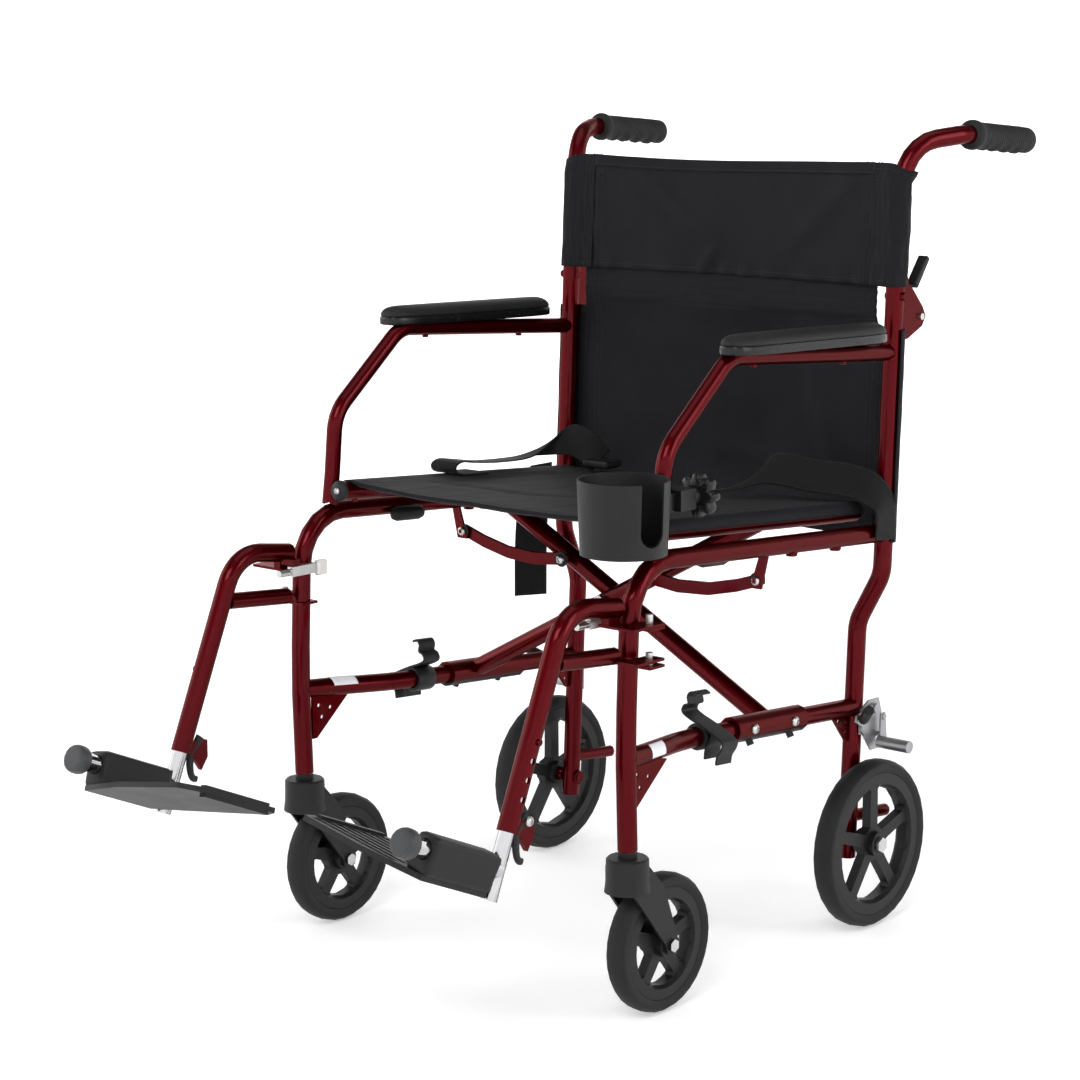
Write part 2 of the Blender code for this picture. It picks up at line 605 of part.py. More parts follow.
def back_release(side, tag):
    """Finger lever that frees the folding back."""
    place = at(side, FRAME_X, 0.0745, 0.7650)
    outline = ((0.0700, 0.7655), (0.0760, 0.7590), (0.1010, 0.7930), (0.0950, 0.7975))
    body = side_plate(tag, side, (FRAME_X - 0.0070, FRAME_X + 0.0070), outline)
    soften(body, 0.0015, 1)
    return finish(body, tag, "black_plastic", place)


# ---------------------------------------------------------------- wheel locks
LOCK_PIVOT = (0.0258, 0.2598)
SHOE = (0.0280, 0.2190)
GUIDE = (0.0373, 0.2254)
SHOE_SLIDE = Vector((0.0, -0.232, -0.973)).normalized()


def lock_plate(side, tag):
    """Slotted plate bolted to the rear leg."""
    outline = ((0.0030, 0.2350), (0.0230, 0.2080), (0.0440, 0.2080), (0.0450, 0.2500),
               (0.0380, 0.2700), (0.0180, 0.2700), (0.0030, 0.2620))
    body = side_plate(tag, side, (0.2335, 0.2362), outline)
    clamp = block(tag + "_clamp", side, (0.2306, 0.2340), (0.0040, 0.0170), (0.2300, 0.2495))
    pin = rod(tag + "_pin", at(side, 0.2345, *LOCK_PIVOT), at(side, 0.2425, *LOCK_PIVOT), 0.0030)
    cap = rod(tag + "_cap", at(side, 0.2404, *LOCK_PIVOT), at(side, 0.2424, *LOCK_PIVOT), 0.0055)
    bolt = rod(tag + "_bolt", at(side, 0.2350, 0.0110, 0.2260),
               at(side, 0.2366, 0.0110, 0.2260), 0.0036, 6)
    slot_start = at(side, 0.230, *GUIDE)
    slot_end = slot_start + SHOE_SLIDE * 0.0100
    cuts = [rod(tag + "_slot_top", slot_start, slot_start + Vector((side * 0.010, 0, 0)), 0.0036),
            rod(tag + "_slot_foot", slot_end, slot_end + Vector((side * 0.010, 0, 0)), 0.0036)]
    across = SHOE_SLIDE.cross(Vector((1, 0, 0))) * 0.0034
    cuts.append(prism(tag + "_slot", (slot_start + across, slot_end + across,
                                      slot_end - across, slot_start - across),
                      Vector((side * 0.010, 0, 0))))
    combine(body, (clamp, pin, cap, bolt), cuts)
    return finish(body, tag, "aluminium")


def lock_lever(side, tag):
    """Hand lever of the wheel lock with a round grip that points out and forward."""
    outline = ((0.0295, 0.2545), (0.0325, 0.2600), (0.0285, 0.2655), (0.0225, 0.2655),
               (-0.0060, 0.2590), (-0.0125, 0.2570), (-0.0135, 0.2490), (-0.0050, 0.2440),
               (0.0010, 0.2410), (0.0230, 0.2520))
    body = side_plate(tag, side, (0.2370, 0.2400), outline)
    root = at(side, 0.2385, 0.0, 0.2475)
    along = Vector((side * 0.62, -0.62, 0.48)).normalized()
    handle = rod(tag + "_handle", root + along * 0.0085, root + along * 0.054, 0.0062, 12)
    soften(handle, 0.0015, 1)
    hole = rod(tag + "_hole", at(side, 0.2335, *LOCK_PIVOT), at(side, 0.2435, *LOCK_PIVOT), 0.0036)
    combine(body, (handle,), (hole,))
    return finish(body, tag, "black_plastic", at(side, 0.2385, *LOCK_PIVOT))


def lock_shoe(side, tag):
    """Link bar, guide pin and round shoe that presses on the tyre."""
    outline = ((0.0300, 0.2530), (0.0392, 0.2535), (0.0425, 0.2215), (0.0355, 0.2130),
               (0.0260, 0.2135), (0.0235, 0.2210), (0.0290, 0.2250))
    body = side_plate(tag, side, (0.2430, 0.2455), outline)
    adds = [rod(tag + "_tube", at(side, 0.2435, *SHOE), at(side, 0.2880, *SHOE), 0.0075),
            rod(tag + "_guide", at(side, 0.2325, *GUIDE), at(side, 0.2445, *GUIDE), 0.0030),
            rod(tag + "_cap", at(side, 0.2450, 0.0349, 0.2485), at(side, 0.2475, 0.0349, 0.2485),
                0.0040, 6)]
    combine(body, adds)
    return finish(body, tag, "aluminium", at(side, 0.2445, *SHOE))


# ---------------------------------------------------------------- cross brace
FOLD_AXIS = Vector((0.0, 1.0, FOLD_SLOPE)).normalized()


def cross_tube(side, tag, y):
    """Brace tube from a saddle sleeve on one lower rail to the opposite seat rail."""
    low = at(side, RAIL_X, y, lower_rail_z(y))
    high = at(-side, SEAT_X, y, seat_rail_z(y))
    body = tube(tag, [low, high], FRAME_R)
    ends = [at(side, RAIL_X, v, lower_rail_z(v)) for v in SLEEVE_Y]
    sleeve = rod(tag + "_sleeve", *ends, 0.0155)
    adds = [sleeve]
    for number, v in enumerate((-0.208, -0.131)):
        place = at(side, RAIL_X, v, lower_rail_z(v))
        adds.append(rod(tag + "_bolt%d" % number, place + Vector((side * 0.006, 0, -0.0120)),
                        place + Vector((side * 0.0095, 0, -0.0185)), 0.0045, 6))
    reach = (ends[1] - ends[0]) * 0.1
    bore = rod(tag + "_bore", ends[0] - reach, ends[1] + reach, FRAME_R + 0.0006)
    rail = cope(tag + "_seat_rail", at(-side, SEAT_X, y - 0.03, seat_rail_z(y - 0.03)),
                at(-side, SEAT_X, y + 0.03, seat_rail_z(y + 0.03)), FRAME_R)
    middle = at(1, 0.0, y, CENTRE_Z + FOLD_SLOPE * (y - (CROSS_A_Y + CROSS_B_Y) / 2))
    pivot = rod(tag + "_pivot_hole", middle - FOLD_AXIS * 0.03, middle + FOLD_AXIS * 0.03, 0.0047)
    combine(body, adds, (bore, rail, pivot))
    return finish(body, tag, "red_paint")


def pivot_bolt(tag):
    middle = at(1, 0.0, (CROSS_A_Y + CROSS_B_Y) / 2, CENTRE_Z)
    body = rod(tag, middle - FOLD_AXIS * 0.0330, middle + FOLD_AXIS * 0.0330, 0.0040)
    head = rod(tag + "_head", middle - FOLD_AXIS * 0.0310, middle - FOLD_AXIS * 0.0250, 0.0085, 6)
    nut = rod(tag + "_nut", middle + FOLD_AXIS * 0.0250, middle + FOLD_AXIS * 0.0310, 0.0085, 6)
    combine(body, (head, nut))
    return finish(body, tag, "zinc")


def seat_rail(side, tag):
    """Seat rail on top of a brace tube, with a small bolt under its front end."""
    ends = [at(side, SEAT_X, y, seat_rail_z(y)) for y in (-0.407, -0.001)]
    body = tube(tag, ends, FRAME_R)
    bolt = rod(tag + "_bolt", at(side, SEAT_X, -0.385, seat_rail_z(-0.385) - 0.014),
               at(side, SEAT_X, -0.385, seat_rail_z(-0.385) - 0.005), 0.0040, 8)
    combine(body, (bolt,))
    return finish(body, tag, "red_paint")


def stabiliser_link(side, tag):
    """Bowed flat link from a tab under the side rail to a brace tube."""
    near = -0.2062 if side > 0 else -0.1820
    line = ((0.236, 0.450), (0.205, 0.4400), (0.165, 0.4310), (0.120, 0.4285), (0.075, 0.4335))
    half = 0.0075
    over = [(x, z + half) for x, z in line]
    under = [(x, z - half) for x, z in reversed(line)]
    outline = [(0.2425, 0.4540)] + over + [(0.0680, 0.4370), (0.0680, 0.4300)] + under
    outline.append((0.2425, 0.4460))
    body = cross_plate(tag, side, (near, near + 0.0050), outline)
    cap = rod(tag + "_cap", at(side, 0.075, near - 0.004, 0.4335), at(side, 0.075, near + 0.001,
                                                                    0.4335), 0.0062, 6)
    hole = rod(tag + "_hole", at(side, 0.236, near - 0.01, 0.450), at(side, 0.236, near + 0.01,
                                                                    0.450), 0.0042)
    combine(body, (cap,), (hole,))
    return finish(body, tag, "red_paint", at(side, 0.236, near, 0.450))


# ---------------------------------------------------------------- soft parts
def sling(tag, outline_front, thickness):
    """Flat sheet hung between the two sides; the outline is given at its front face."""
    body = prism(tag, outline_front, thickness)
    return finish(body, tag, "nylon")


def seat_sling(tag):
    lift = FRAME_R + 0.0008
    corners = ((0.2330, -0.398), (0.2330, -0.006), (-0.2330, -0.006), (-0.2330, -0.398))
    outline = [at(1, x, y, seat_rail_z(y) + lift) for x, y in corners]
    return sling(tag, outline, Vector((0, 0, 0.0025)))


def back_sling(tag, low, high, half_low):
    corners = ((half_low, low), (0.2360, low + 0.03), (0.2360, high), (-0.2360, high),
               (-0.2360, low + 0.03), (-half_low, low))
    outline = [at(1, x, post_y(z) - 0.002, z) for x, z in corners]
    return sling(tag, outline, Vector((0, 0.004, 0)))


def belt(side, tag, inner, outer):
    """Waist strap lying on the seat."""
    start = at(side, *inner)
    end = at(side, *outer)
    across = Vector((0, 0, 1)).cross(end - start).normalized() * 0.0125
    body = prism(tag, (start - across, start + across, end + across, end - across),
                 Vector((0, 0, 0.0018)))
    return finish(body, tag, "webbing")


def belt_buckle(tag):
    body = block(tag, 1, (-0.168, -0.128), (-0.036, -0.004), (0.5190, 0.5290))
    soften(body, 0.003, 2)
    return finish(body, tag, "black_plastic")


# ---------------------------------------------------------------- cup holder
def cup_holder(tag):
    """Cup with a slot for a mug handle."""
    floor = 0.5175
    profile = [(0.0, floor + 0.003), (CUP_R - 0.0060, floor + 0.003), (CUP_R - 0.0025, 0.597),
               (CUP_R, 0.597), (CUP_R - 0.0030, floor), (0.0, floor)]
    body = turned(tag, profile, at(1, FRAME_X, CUP_Y, 0), Vector((0, 0, 1)), 32)
    centre = at(1, FRAME_X, CUP_Y, 0)
    out = Vector((math.cos(math.radians(-10)), math.sin(math.radians(-10)), 0))
    across = Vector((-out.y, out.x, 0)) * 0.0150
    slot = [centre + out * 0.030 + across, centre + out * 0.070 + across,
            centre + out * 0.070 - across, centre + out * 0.030 - across]
    slot = [point + Vector((0, 0, 0.545)) for point in slot]
    bottom = centre + Vector((0, 0, 0.545))
    combine(body, (), (prism(tag + "_slot", slot, Vector((0, 0, 0.1))),
                       rod(tag + "_slot_end", bottom + out * 0.0302, bottom + out * 0.0702,
                           0.0151, 24)))
    return finish(body, tag, "black_plastic")


def cup_clamp(tag):
    """Clamp ring on the arm tube with arms towards the cup and the knob."""
    low = at(1, FRAME_X, -0.3958, 0.5550)
    high = at(1, FRAME_X, -0.3939, 0.5750)
    reach = (high - low) * 0.3
    body = rod(tag, low, high, 0.0135)
    adds = [block(tag + "_boss", 1, (0.2440, 0.2690), (-0.3880, -0.3620), (0.5550, 0.5775)),
            block(tag + "_arm", 1, (0.2420, 0.2550), (-0.4082, -0.4020), (0.5550, 0.5750))]
    cuts = [rod(tag + "_bore", low - reach, high + reach, ARM_R + 0.0006),
            rod(tag + "_screw_hole", at(1, KNOB_X, -0.3810, KNOB_Z), at(1, KNOB_X, -0.355, KNOB_Z),
                0.0046)]
    combine(body, adds, cuts)
    return finish(body, tag, "black_plastic")


def cup_knob(tag):
    """Lobed clamping knob on its screw."""
    centre = at(1, KNOB_X, -0.3530, KNOB_Z)
    outline = []
    for step in range(20):
        angle = math.radians(18 * step)
        radius = 0.0245 if step % 4 in (0, 1) else 0.0190
        outline.append(centre + Vector((radius * math.cos(angle), 0, radius * math.sin(angle))))
    body = prism(tag, outline, Vector((0, 0.016, 0)))
    soften(body, 0.002, 1)
    screw = rod(tag + "_screw", at(1, KNOB_X, -0.3795, KNOB_Z), at(1, KNOB_X, -0.345, KNOB_Z),
                0.0040)
    collar = rod(tag + "_collar", at(1, KNOB_X, -0.3610, KNOB_Z), at(1, KNOB_X, -0.350, KNOB_Z),
                 0.0080)
    combine(body, (collar, screw))
    return finish(body, tag, "black_plastic", centre)


# ---------------------------------------------------------------- build
for side, name in ((1, "left_"), (-1, "right_")):
    side_tube(side, name + "side_tube")
    back_post(side, name + "back_post")
    lower_rail(side, name + "lower_rail")
    arm_tube(side, name + "arm_tube")
    arm_pad(side, name + "arm_pad")
    rail_clip(side, name + "rail_clip")
    rear_centre = at(side, REAR_X, 0.0, REAR_R)
    front_centre = at(side, FRAME_X, FRONT_Y, FRONT_R)
    tyre(side, name + "rear_tyre", REAR_R, rear_centre)
    wheel(side, name + "rear_wheel", REAR_R, 0.0700, rear_centre, 0.0140, 0.0064)
    tyre(side, name + "front_tyre", FRONT_R, front_centre)
    wheel(side, name + "front_wheel", FRONT_R, 0.0480, front_centre, 0.0158, 0.0049)
    caster_fork(side, name + "caster_fork")
    footrest_hanger(side, name + "footrest_hanger")
    footrest_tube(side, name + "footrest_tube")
    footplate(side, name + "footplate")
    footrest_latch(side, name + "footrest_latch")
    push_tube(side, name + "push_tube")
    grip(side, name + "grip")
    back_release(side, name + "back_release")
    lock_plate(side, name + "lock_plate")
    lock_lever(side, name + "lock_lever")
    lock_shoe(side, name + "lock_shoe")
    seat_rail(side, name + "seat_rail")
    stabiliser_link(side, name + "stabiliser_link")

cross_tube(1, "cross_tube_a", CROSS_A_Y)
cross_tube(-1, "cross_tube_b", CROSS_B_Y)
pivot_bolt("pivot_bolt")
seat_sling("seat_sling")
back_sling("lower_back_sling", 0.4660, 0.7620, 0.2300)
back_sling("upper_back_sling", 0.7700, 0.9000, 0.2300)
belt(1, "left_belt", (0.089, -0.046, 0.5205), (0.232, 0.003, 0.5175))
belt(-1, "right_belt", (0.172, -0.020, 0.5190), (0.232, 0.003, 0.5175))
belt_buckle("belt_buckle")
cup_holder("cup_holder")
cup_clamp("cup_clamp")
cup_knob("cup_knob")
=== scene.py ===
"""Looks of the transport wheelchair: materials, cloth, pads, belts, wheels, light and camera."""

import json
import math

import bmesh
import bpy
from mathutils import Matrix, Vector, noise
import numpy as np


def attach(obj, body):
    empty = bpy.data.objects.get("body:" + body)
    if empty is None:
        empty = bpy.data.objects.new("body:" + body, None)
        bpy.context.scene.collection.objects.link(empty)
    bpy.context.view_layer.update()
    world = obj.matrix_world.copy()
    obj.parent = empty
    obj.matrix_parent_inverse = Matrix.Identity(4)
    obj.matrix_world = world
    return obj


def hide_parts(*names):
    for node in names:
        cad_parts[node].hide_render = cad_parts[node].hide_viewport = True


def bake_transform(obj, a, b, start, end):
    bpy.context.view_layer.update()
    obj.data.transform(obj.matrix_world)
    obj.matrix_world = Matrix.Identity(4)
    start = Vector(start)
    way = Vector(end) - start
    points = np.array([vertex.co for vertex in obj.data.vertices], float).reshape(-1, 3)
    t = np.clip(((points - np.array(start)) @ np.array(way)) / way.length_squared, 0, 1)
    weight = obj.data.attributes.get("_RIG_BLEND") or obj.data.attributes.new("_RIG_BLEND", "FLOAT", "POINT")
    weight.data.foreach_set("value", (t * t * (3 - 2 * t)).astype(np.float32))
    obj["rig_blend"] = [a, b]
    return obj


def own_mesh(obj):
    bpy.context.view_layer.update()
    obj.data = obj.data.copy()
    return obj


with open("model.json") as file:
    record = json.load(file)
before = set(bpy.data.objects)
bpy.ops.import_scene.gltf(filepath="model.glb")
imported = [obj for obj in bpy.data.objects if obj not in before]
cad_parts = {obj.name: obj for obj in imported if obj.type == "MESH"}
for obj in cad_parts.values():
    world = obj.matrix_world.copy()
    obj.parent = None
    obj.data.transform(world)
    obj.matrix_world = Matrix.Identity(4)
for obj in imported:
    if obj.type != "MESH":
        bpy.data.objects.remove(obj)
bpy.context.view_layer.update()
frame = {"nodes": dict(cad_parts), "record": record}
NODES = frame["nodes"]
BODY_OF = {node: body for body, members in frame["record"]["behaviour"]["bodies"].items()
           for node in members}
SLOT_OF = {entry["node"]: entry["material_slot"] for entry in frame["record"]["subparts"]}

# ---------------------------------------------------------------- sizes (metres)
AXLE_Y = 0.2718                    # rear axle; the y values below are counted from it
FRAME_X = 0.2485
FRAME_R = 0.0111
SEAT_X = 0.2235
CLOTH = 0.0011                     # thickness of the nylon
WEBBING = 0.0014
BELT_W = 0.042
EDGE_ROUND = 0.0005                # softened edges of hard parts
FRONT_AXLE = (-0.3983, 0.078)      # y and z of the wheel axles
REAR_AXLE = (0.0, 0.1015)


def at(x, y, z):
    return Vector((x, y + AXLE_Y, z))


def post_y(z):
    return 0.0275 + 0.05 * (z - 0.545)


def seat_rail_z(y):
    return 0.512 - 0.072 * (y + 0.17)


def arm_z(y):
    return 0.7092 - 0.07 * (y + 0.2788)


def side_rail_z(y):
    return 0.4996 - 0.0655 * (y + 0.3583)


def lower_rail_z(y):
    return 0.2745 - 0.072 * (y + 0.17)


# ---------------------------------------------------------------- materials
WAVE_TURN = 6.283                  # scale of the wave texture for one band per unit


def shader_of(name):
    look = bpy.data.materials.new(name)
    look.use_nodes = True
    return look, look.node_tree, look.node_tree.nodes["Principled BSDF"]


def add_node(tree, kind, **inputs):
    made = tree.nodes.new(kind)
    for key, value in inputs.items():
        made.inputs[key.replace("_", " ")].default_value = value
    return made


def object_place(tree):
    """Position on the piece in metres, from which every pattern is worked out."""
    place = tree.nodes.new("ShaderNodeTexCoord")
    mapping = tree.nodes.new("ShaderNodeMapping")
    tree.links.new(place.outputs["Object"], mapping.inputs["Vector"])
    return mapping.outputs["Vector"]


def noise_at(tree, place, scale, detail=4.0, roughness=0.5):
    made = add_node(tree, "ShaderNodeTexNoise", Scale=scale, Detail=detail, Roughness=roughness)
    tree.links.new(place, made.inputs["Vector"])
    return made.outputs["Fac"]


def ramp(tree, source, dark, light, low=0.35, high=0.65):
    """Colour that goes from dark to light as the source goes from low to high."""
    made = tree.nodes.new("ShaderNodeValToRGB")
    made.color_ramp.elements[0].position = low
    made.color_ramp.elements[1].position = high
    made.color_ramp.elements[0].color = (*dark, 1)
    made.color_ramp.elements[1].color = (*light, 1)
    tree.links.new(source, made.inputs["Fac"])
    return made.outputs["Color"]


def spread(tree, source, low, high):
    """The source's range of 0 to 1 stretched to low and high."""
    made = tree.nodes.new("ShaderNodeMapRange")
    made.inputs["To Min"].default_value = low
    made.inputs["To Max"].default_value = high
    tree.links.new(source, made.inputs["Value"])
    return made.outputs["Result"]


def bump(tree, shader, height, strength, distance, below=None):
    made = add_node(tree, "ShaderNodeBump", Strength=strength, Distance=distance)
    tree.links.new(height, made.inputs["Height"])
    if below is not None:
        tree.links.new(below, made.inputs["Normal"])
    tree.links.new(made.outputs["Normal"], shader.inputs["Normal"])
    return made.outputs["Normal"]


def paint_look():
    """Metallic red lacquer: flakes under a clear coat, slightly uneven gloss."""
    look, tree, shader = shader_of("red_lacquer")
    place = object_place(tree)
    flakes = noise_at(tree, place, 2600, 2)
    tree.links.new(ramp(tree, flakes, (0.056, 0.0003, 0.0019), (0.090, 0.0006, 0.0034)),
                   shader.inputs["Base Color"])
    tree.links.new(spread(tree, noise_at(tree, place, 45), 0.26, 0.40), shader.inputs["Roughness"])
    bump(tree, shader, noise_at(tree, place, 380, 2), 0.05, 0.0004)
    shader.inputs["Metallic"].default_value = 0.85
    shader.inputs["Specular IOR Level"].default_value = 0.25
    shader.inputs["Specular Tint"].default_value = (0.55, 0.06, 0.08, 1)
    shader.inputs["Coat Weight"].default_value = 0.16
    shader.inputs["Coat Roughness"].default_value = 0.07
    return look


def metal_look(name, colour, roughness):
    """Plated or cast metal: fine grain and a slightly clouded tone."""
    look, tree, shader = shader_of(name)
    place = object_place(tree)
    grain = noise_at(tree, place, 900, 3)
    tree.links.new(spread(tree, grain, roughness * 0.75, roughness * 1.3),
                   shader.inputs["Roughness"])
    shade = [c * 0.88 for c in colour]
    tree.links.new(ramp(tree, noise_at(tree, object_place(tree), 60), shade, colour, 0.3, 0.7),
                   shader.inputs["Base Color"])
    bump(tree, shader, grain, 0.04, 0.0002)
    shader.inputs["Metallic"].default_value = 1.0
    return look


def plastic_look(name, dark, light, roughness, grain_scale, grain_depth):
    """Moulded plastic or rubber: fine grain and a cloudy tone."""
    look, tree, shader = shader_of(name)
    place = object_place(tree)
    cloud = noise_at(tree, place, 28, 5)
    tree.links.new(ramp(tree, cloud, dark, light, 0.3, 0.7), shader.inputs["Base Color"])
    tree.links.new(spread(tree, cloud, roughness - 0.06, roughness + 0.10),
                   shader.inputs["Roughness"])
    grain = add_node(tree, "ShaderNodeTexVoronoi", Scale=grain_scale)
    tree.links.new(place, grain.inputs["Vector"])
    fine = bump(tree, shader, noise_at(tree, place, grain_scale * 2.2), 0.25, grain_depth)
    bump(tree, shader, grain.outputs["Distance"], 0.3, grain_depth, fine)
    shader.inputs["Specular IOR Level"].default_value = 0.26
    return look


def woven_look(name, dark, light, thread, sheen):
    """Plain weave: two crossed sets of threads with uneven dye and a light sheen."""
    look, tree, shader = shader_of(name)
    place = object_place(tree)
    waves = []
    for direction in ("X", "Z"):
        wave = add_node(tree, "ShaderNodeTexWave", Scale=1.0 / thread / WAVE_TURN, Distortion=0.5)
        wave.inputs["Detail Scale"].default_value = 2.0
        wave.bands_direction = direction
        tree.links.new(place, wave.inputs["Vector"])
        waves.append(wave.outputs["Fac"])
    cross = tree.nodes.new("ShaderNodeMath")
    cross.operation = "MAXIMUM"
    tree.links.new(waves[0], cross.inputs[0])
    tree.links.new(waves[1], cross.inputs[1])
    cloud = noise_at(tree, place, 14, 6, 0.6)
    tree.links.new(ramp(tree, cloud, dark, light, 0.3, 0.75), shader.inputs["Base Color"])
    tree.links.new(spread(tree, cloud, 0.62, 0.80), shader.inputs["Roughness"])
    soft = bump(tree, shader, noise_at(tree, place, 70, 4), 0.16, 0.0016)
    bump(tree, shader, cross.outputs["Value"], 0.35, thread * 0.25, soft)
    shader.inputs["Specular IOR Level"].default_value = 0.12
    shader.inputs["Sheen Weight"].default_value = sheen
    shader.inputs["Sheen Roughness"].default_value = 0.45
    return look


LOOKS = {
    "red_paint": paint_look(),
    "chrome": metal_look("chrome_plate", (0.50, 0.50, 0.51), 0.10),
    "zinc": metal_look("zinc_plate", (0.58, 0.58, 0.57), 0.30),
    "aluminium": metal_look("cast_aluminium", (0.36, 0.36, 0.37), 0.42),
    "black_plastic": plastic_look("moulded_black", (0.0045, 0.0045, 0.0048), (0.0080, 0.0080, 0.0085),
                                  0.46, 1500, 0.00012),
    "tyre_rubber": plastic_look("tyre_black", (0.0050, 0.0050, 0.0050), (0.0095, 0.0093, 0.0090),
                                0.62, 700, 0.0002),
    "pad_foam": plastic_look("pad_skin", (0.0045, 0.0045, 0.0048), (0.0085, 0.0085, 0.0090),
                             0.55, 850, 0.0003),
    "nylon": woven_look("coated_nylon", (0.0048, 0.0048, 0.0062), (0.0092, 0.0092, 0.0115),
                        0.0007, 0.02),
    "webbing": woven_look("belt_webbing", (0.0050, 0.0050, 0.0055), (0.0095, 0.0095, 0.0100),
                          0.0016, 0.05),
    "thread": woven_look("sewing_thread", (0.014, 0.014, 0.016), (0.024, 0.024, 0.027), 0.0004, 0.1),
    "gloss_black": plastic_look("gloss_black", (0.0040, 0.0040, 0.0045), (0.0065, 0.0065, 0.0070),
                                0.24, 1900, 0.00005),
    "knob_grey": plastic_look("knob_grey", (0.030, 0.031, 0.034), (0.045, 0.046, 0.050),
                              0.40, 1500, 0.0001),
    "grip_rubber": plastic_look("grip_black", (0.0055, 0.0055, 0.0055), (0.0105, 0.0105, 0.0105),
                                0.66, 1100, 0.0003),
    "white_nylon": plastic_look("white_nylon", (0.62, 0.60, 0.56), (0.74, 0.73, 0.70),
                                0.40, 900, 0.0001),
    "blank_label": plastic_look("blank_label", (0.66, 0.67, 0.70), (0.74, 0.75, 0.78),
                                0.45, 400, 0.00005),
}


# ---------------------------------------------------------------- mesh helpers
def place_piece(name, mesh, look, body, smooth=True):
    piece = bpy.data.objects.new(name, mesh)
    bpy.context.scene.collection.objects.link(piece)
    mesh.materials.append(LOOKS[look])
    if smooth:
        mesh.shade_smooth()
    if body is not None:
        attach(piece, body)
    return piece


def sharpen(bm, degrees):
    for face in bm.faces:
        face.smooth = True
    for edge in bm.edges:
        edge.smooth = edge.is_manifold and edge.calc_face_angle(0.0) < math.radians(degrees)


def round_edges(piece, width):
    bevel = piece.modifiers.new("edges", "BEVEL")
    bevel.width = width
    bevel.segments = 2
    bevel.limit_method = "ANGLE"
    bevel.angle_limit = math.radians(35)
    normals = piece.modifiers.new("normals", "WEIGHTED_NORMAL")
    normals.keep_sharp = True


def polished(node, look, regions):
    """A clean copy of a CAD node with smooth faces and softened edges, which stands for it."""
    bm = bmesh.new()
    bm.from_mesh(NODES[node].data)
    bmesh.ops.remove_doubles(bm, verts=bm.verts, dist=2e-6)
    bmesh.ops.dissolve_limit(bm, angle_limit=math.radians(0.6), verts=bm.verts, edges=bm.edges)
    sharpen(bm, 38)
    looks = [look]
    for face in bm.faces:
        face.material_index = 0
    for name, test in regions:
        looks.append(name)
        for face in bm.faces:
            if face.material_index == 0 and all(test(v.co) for v in face.verts):
                face.material_index = len(looks) - 1
    mesh = bpy.data.meshes.new(node + "_shape")
    bm.to_mesh(mesh)
    bm.free()
    for layer in [a for a in mesh.attributes if a.name == "custom_normal"]:
        mesh.attributes.remove(layer)
    piece = place_piece(node + "_shape", mesh, look, BODY_OF[node], smooth=False)
    for name in looks[1:]:
        mesh.materials.append(LOOKS[name])
    round_edges(piece, EDGE_ROUND)
    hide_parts(node)
    return piece


def spline_points(points, steps):
    """Catmull-Rom curve through the points."""
    padded = [points[0] * 2 - points[1]] + list(points) + [points[-1] * 2 - points[-2]]
    path = []
    for a, b, c, d in zip(padded, padded[1:], padded[2:], padded[3:]):
        for step in range(steps):
            t = step / steps
            path.append(0.5 * ((2 * b) + (c - a) * t + (2 * a - 5 * b + 4 * c - d) * t * t
                               + (3 * b - a - 3 * c + d) * t ** 3))
    path.append(points[-1])
    return path


def turned_mesh(name, profile, centre, axis, steps=96):
    """Closed profile of (radius, height) pairs turned about an axis."""
    turn = axis.to_track_quat("Z", "Y").to_matrix()
    bm = bmesh.new()
    rings = []
    for step in range(steps):
        angle = 2 * math.pi * step / steps
        rings.append([bm.verts.new(centre + turn @ Vector((r * math.cos(angle),
                                                          r * math.sin(angle), h)))
                      for r, h in profile])
    for ring, following in zip(rings, rings[1:] + rings[:1]):
        for k in range(len(profile)):
            n = (k + 1) % len(profile)
            bm.faces.new((ring[k], ring[n], following[n], following[k]))
    bmesh.ops.remove_doubles(bm, verts=bm.verts, dist=1e-6)
    bmesh.ops.recalc_face_normals(bm, faces=bm.faces)
    sharpen(bm, 50)
    mesh = bpy.data.meshes.new(name)
    bm.to_mesh(mesh)
    bm.free()
    return mesh


# ---------------------------------------------------------------- CAD nodes that stay as they are
def dress_nodes():
    for name, node in NODES.items():
        look = LOOKS[SLOT_OF[name]]
        for slot in node.material_slots:
            slot.material = look


# ---------------------------------------------------------------- camera, light and floor
CAMERA_PLACE = (2.0641, -2.3865, 1.0478)
CAMERA_TURN = (41.297, 10.24, -0.241)      # azimuth, elevation and roll in degrees
CAMERA_LENS = 92.13


def place_camera():
    azimuth, elevation, roll = (math.radians(angle) for angle in CAMERA_TURN)
    back = Vector((math.sin(azimuth) * math.cos(elevation),
                   -math.cos(azimuth) * math.cos(elevation), math.sin(elevation)))
    level = Vector((math.cos(azimuth), math.sin(azimuth), 0))
    right = level * math.cos(roll) + back.cross(level) * math.sin(roll)
    up = back.cross(right)
    data = bpy.data.cameras.new("view")
    data.sensor_width = 36.0
    data.lens = CAMERA_LENS
    data.clip_start = 0.05
    data.clip_end = 60.0
    camera = bpy.data.objects.new("view", data)
    bpy.context.scene.collection.objects.link(camera)
    turn = Matrix((right, up, back)).transposed().to_4x4()
    camera.matrix_world = Matrix.Translation(CAMERA_PLACE) @ turn
    bpy.context.scene.camera = camera


def soft_box(name, place, aim, size, power):
    data = bpy.data.lights.new(name, "AREA")
    data.shape = "RECTANGLE"
    data.size, data.size_y = size
    data.energy = power
    lamp = bpy.data.objects.new(name, data)
    bpy.context.scene.collection.objects.link(lamp)
    lamp.location = place
    lamp.rotation_euler = (Vector(aim) - Vector(place)).to_track_quat("-Z", "Y").to_euler()


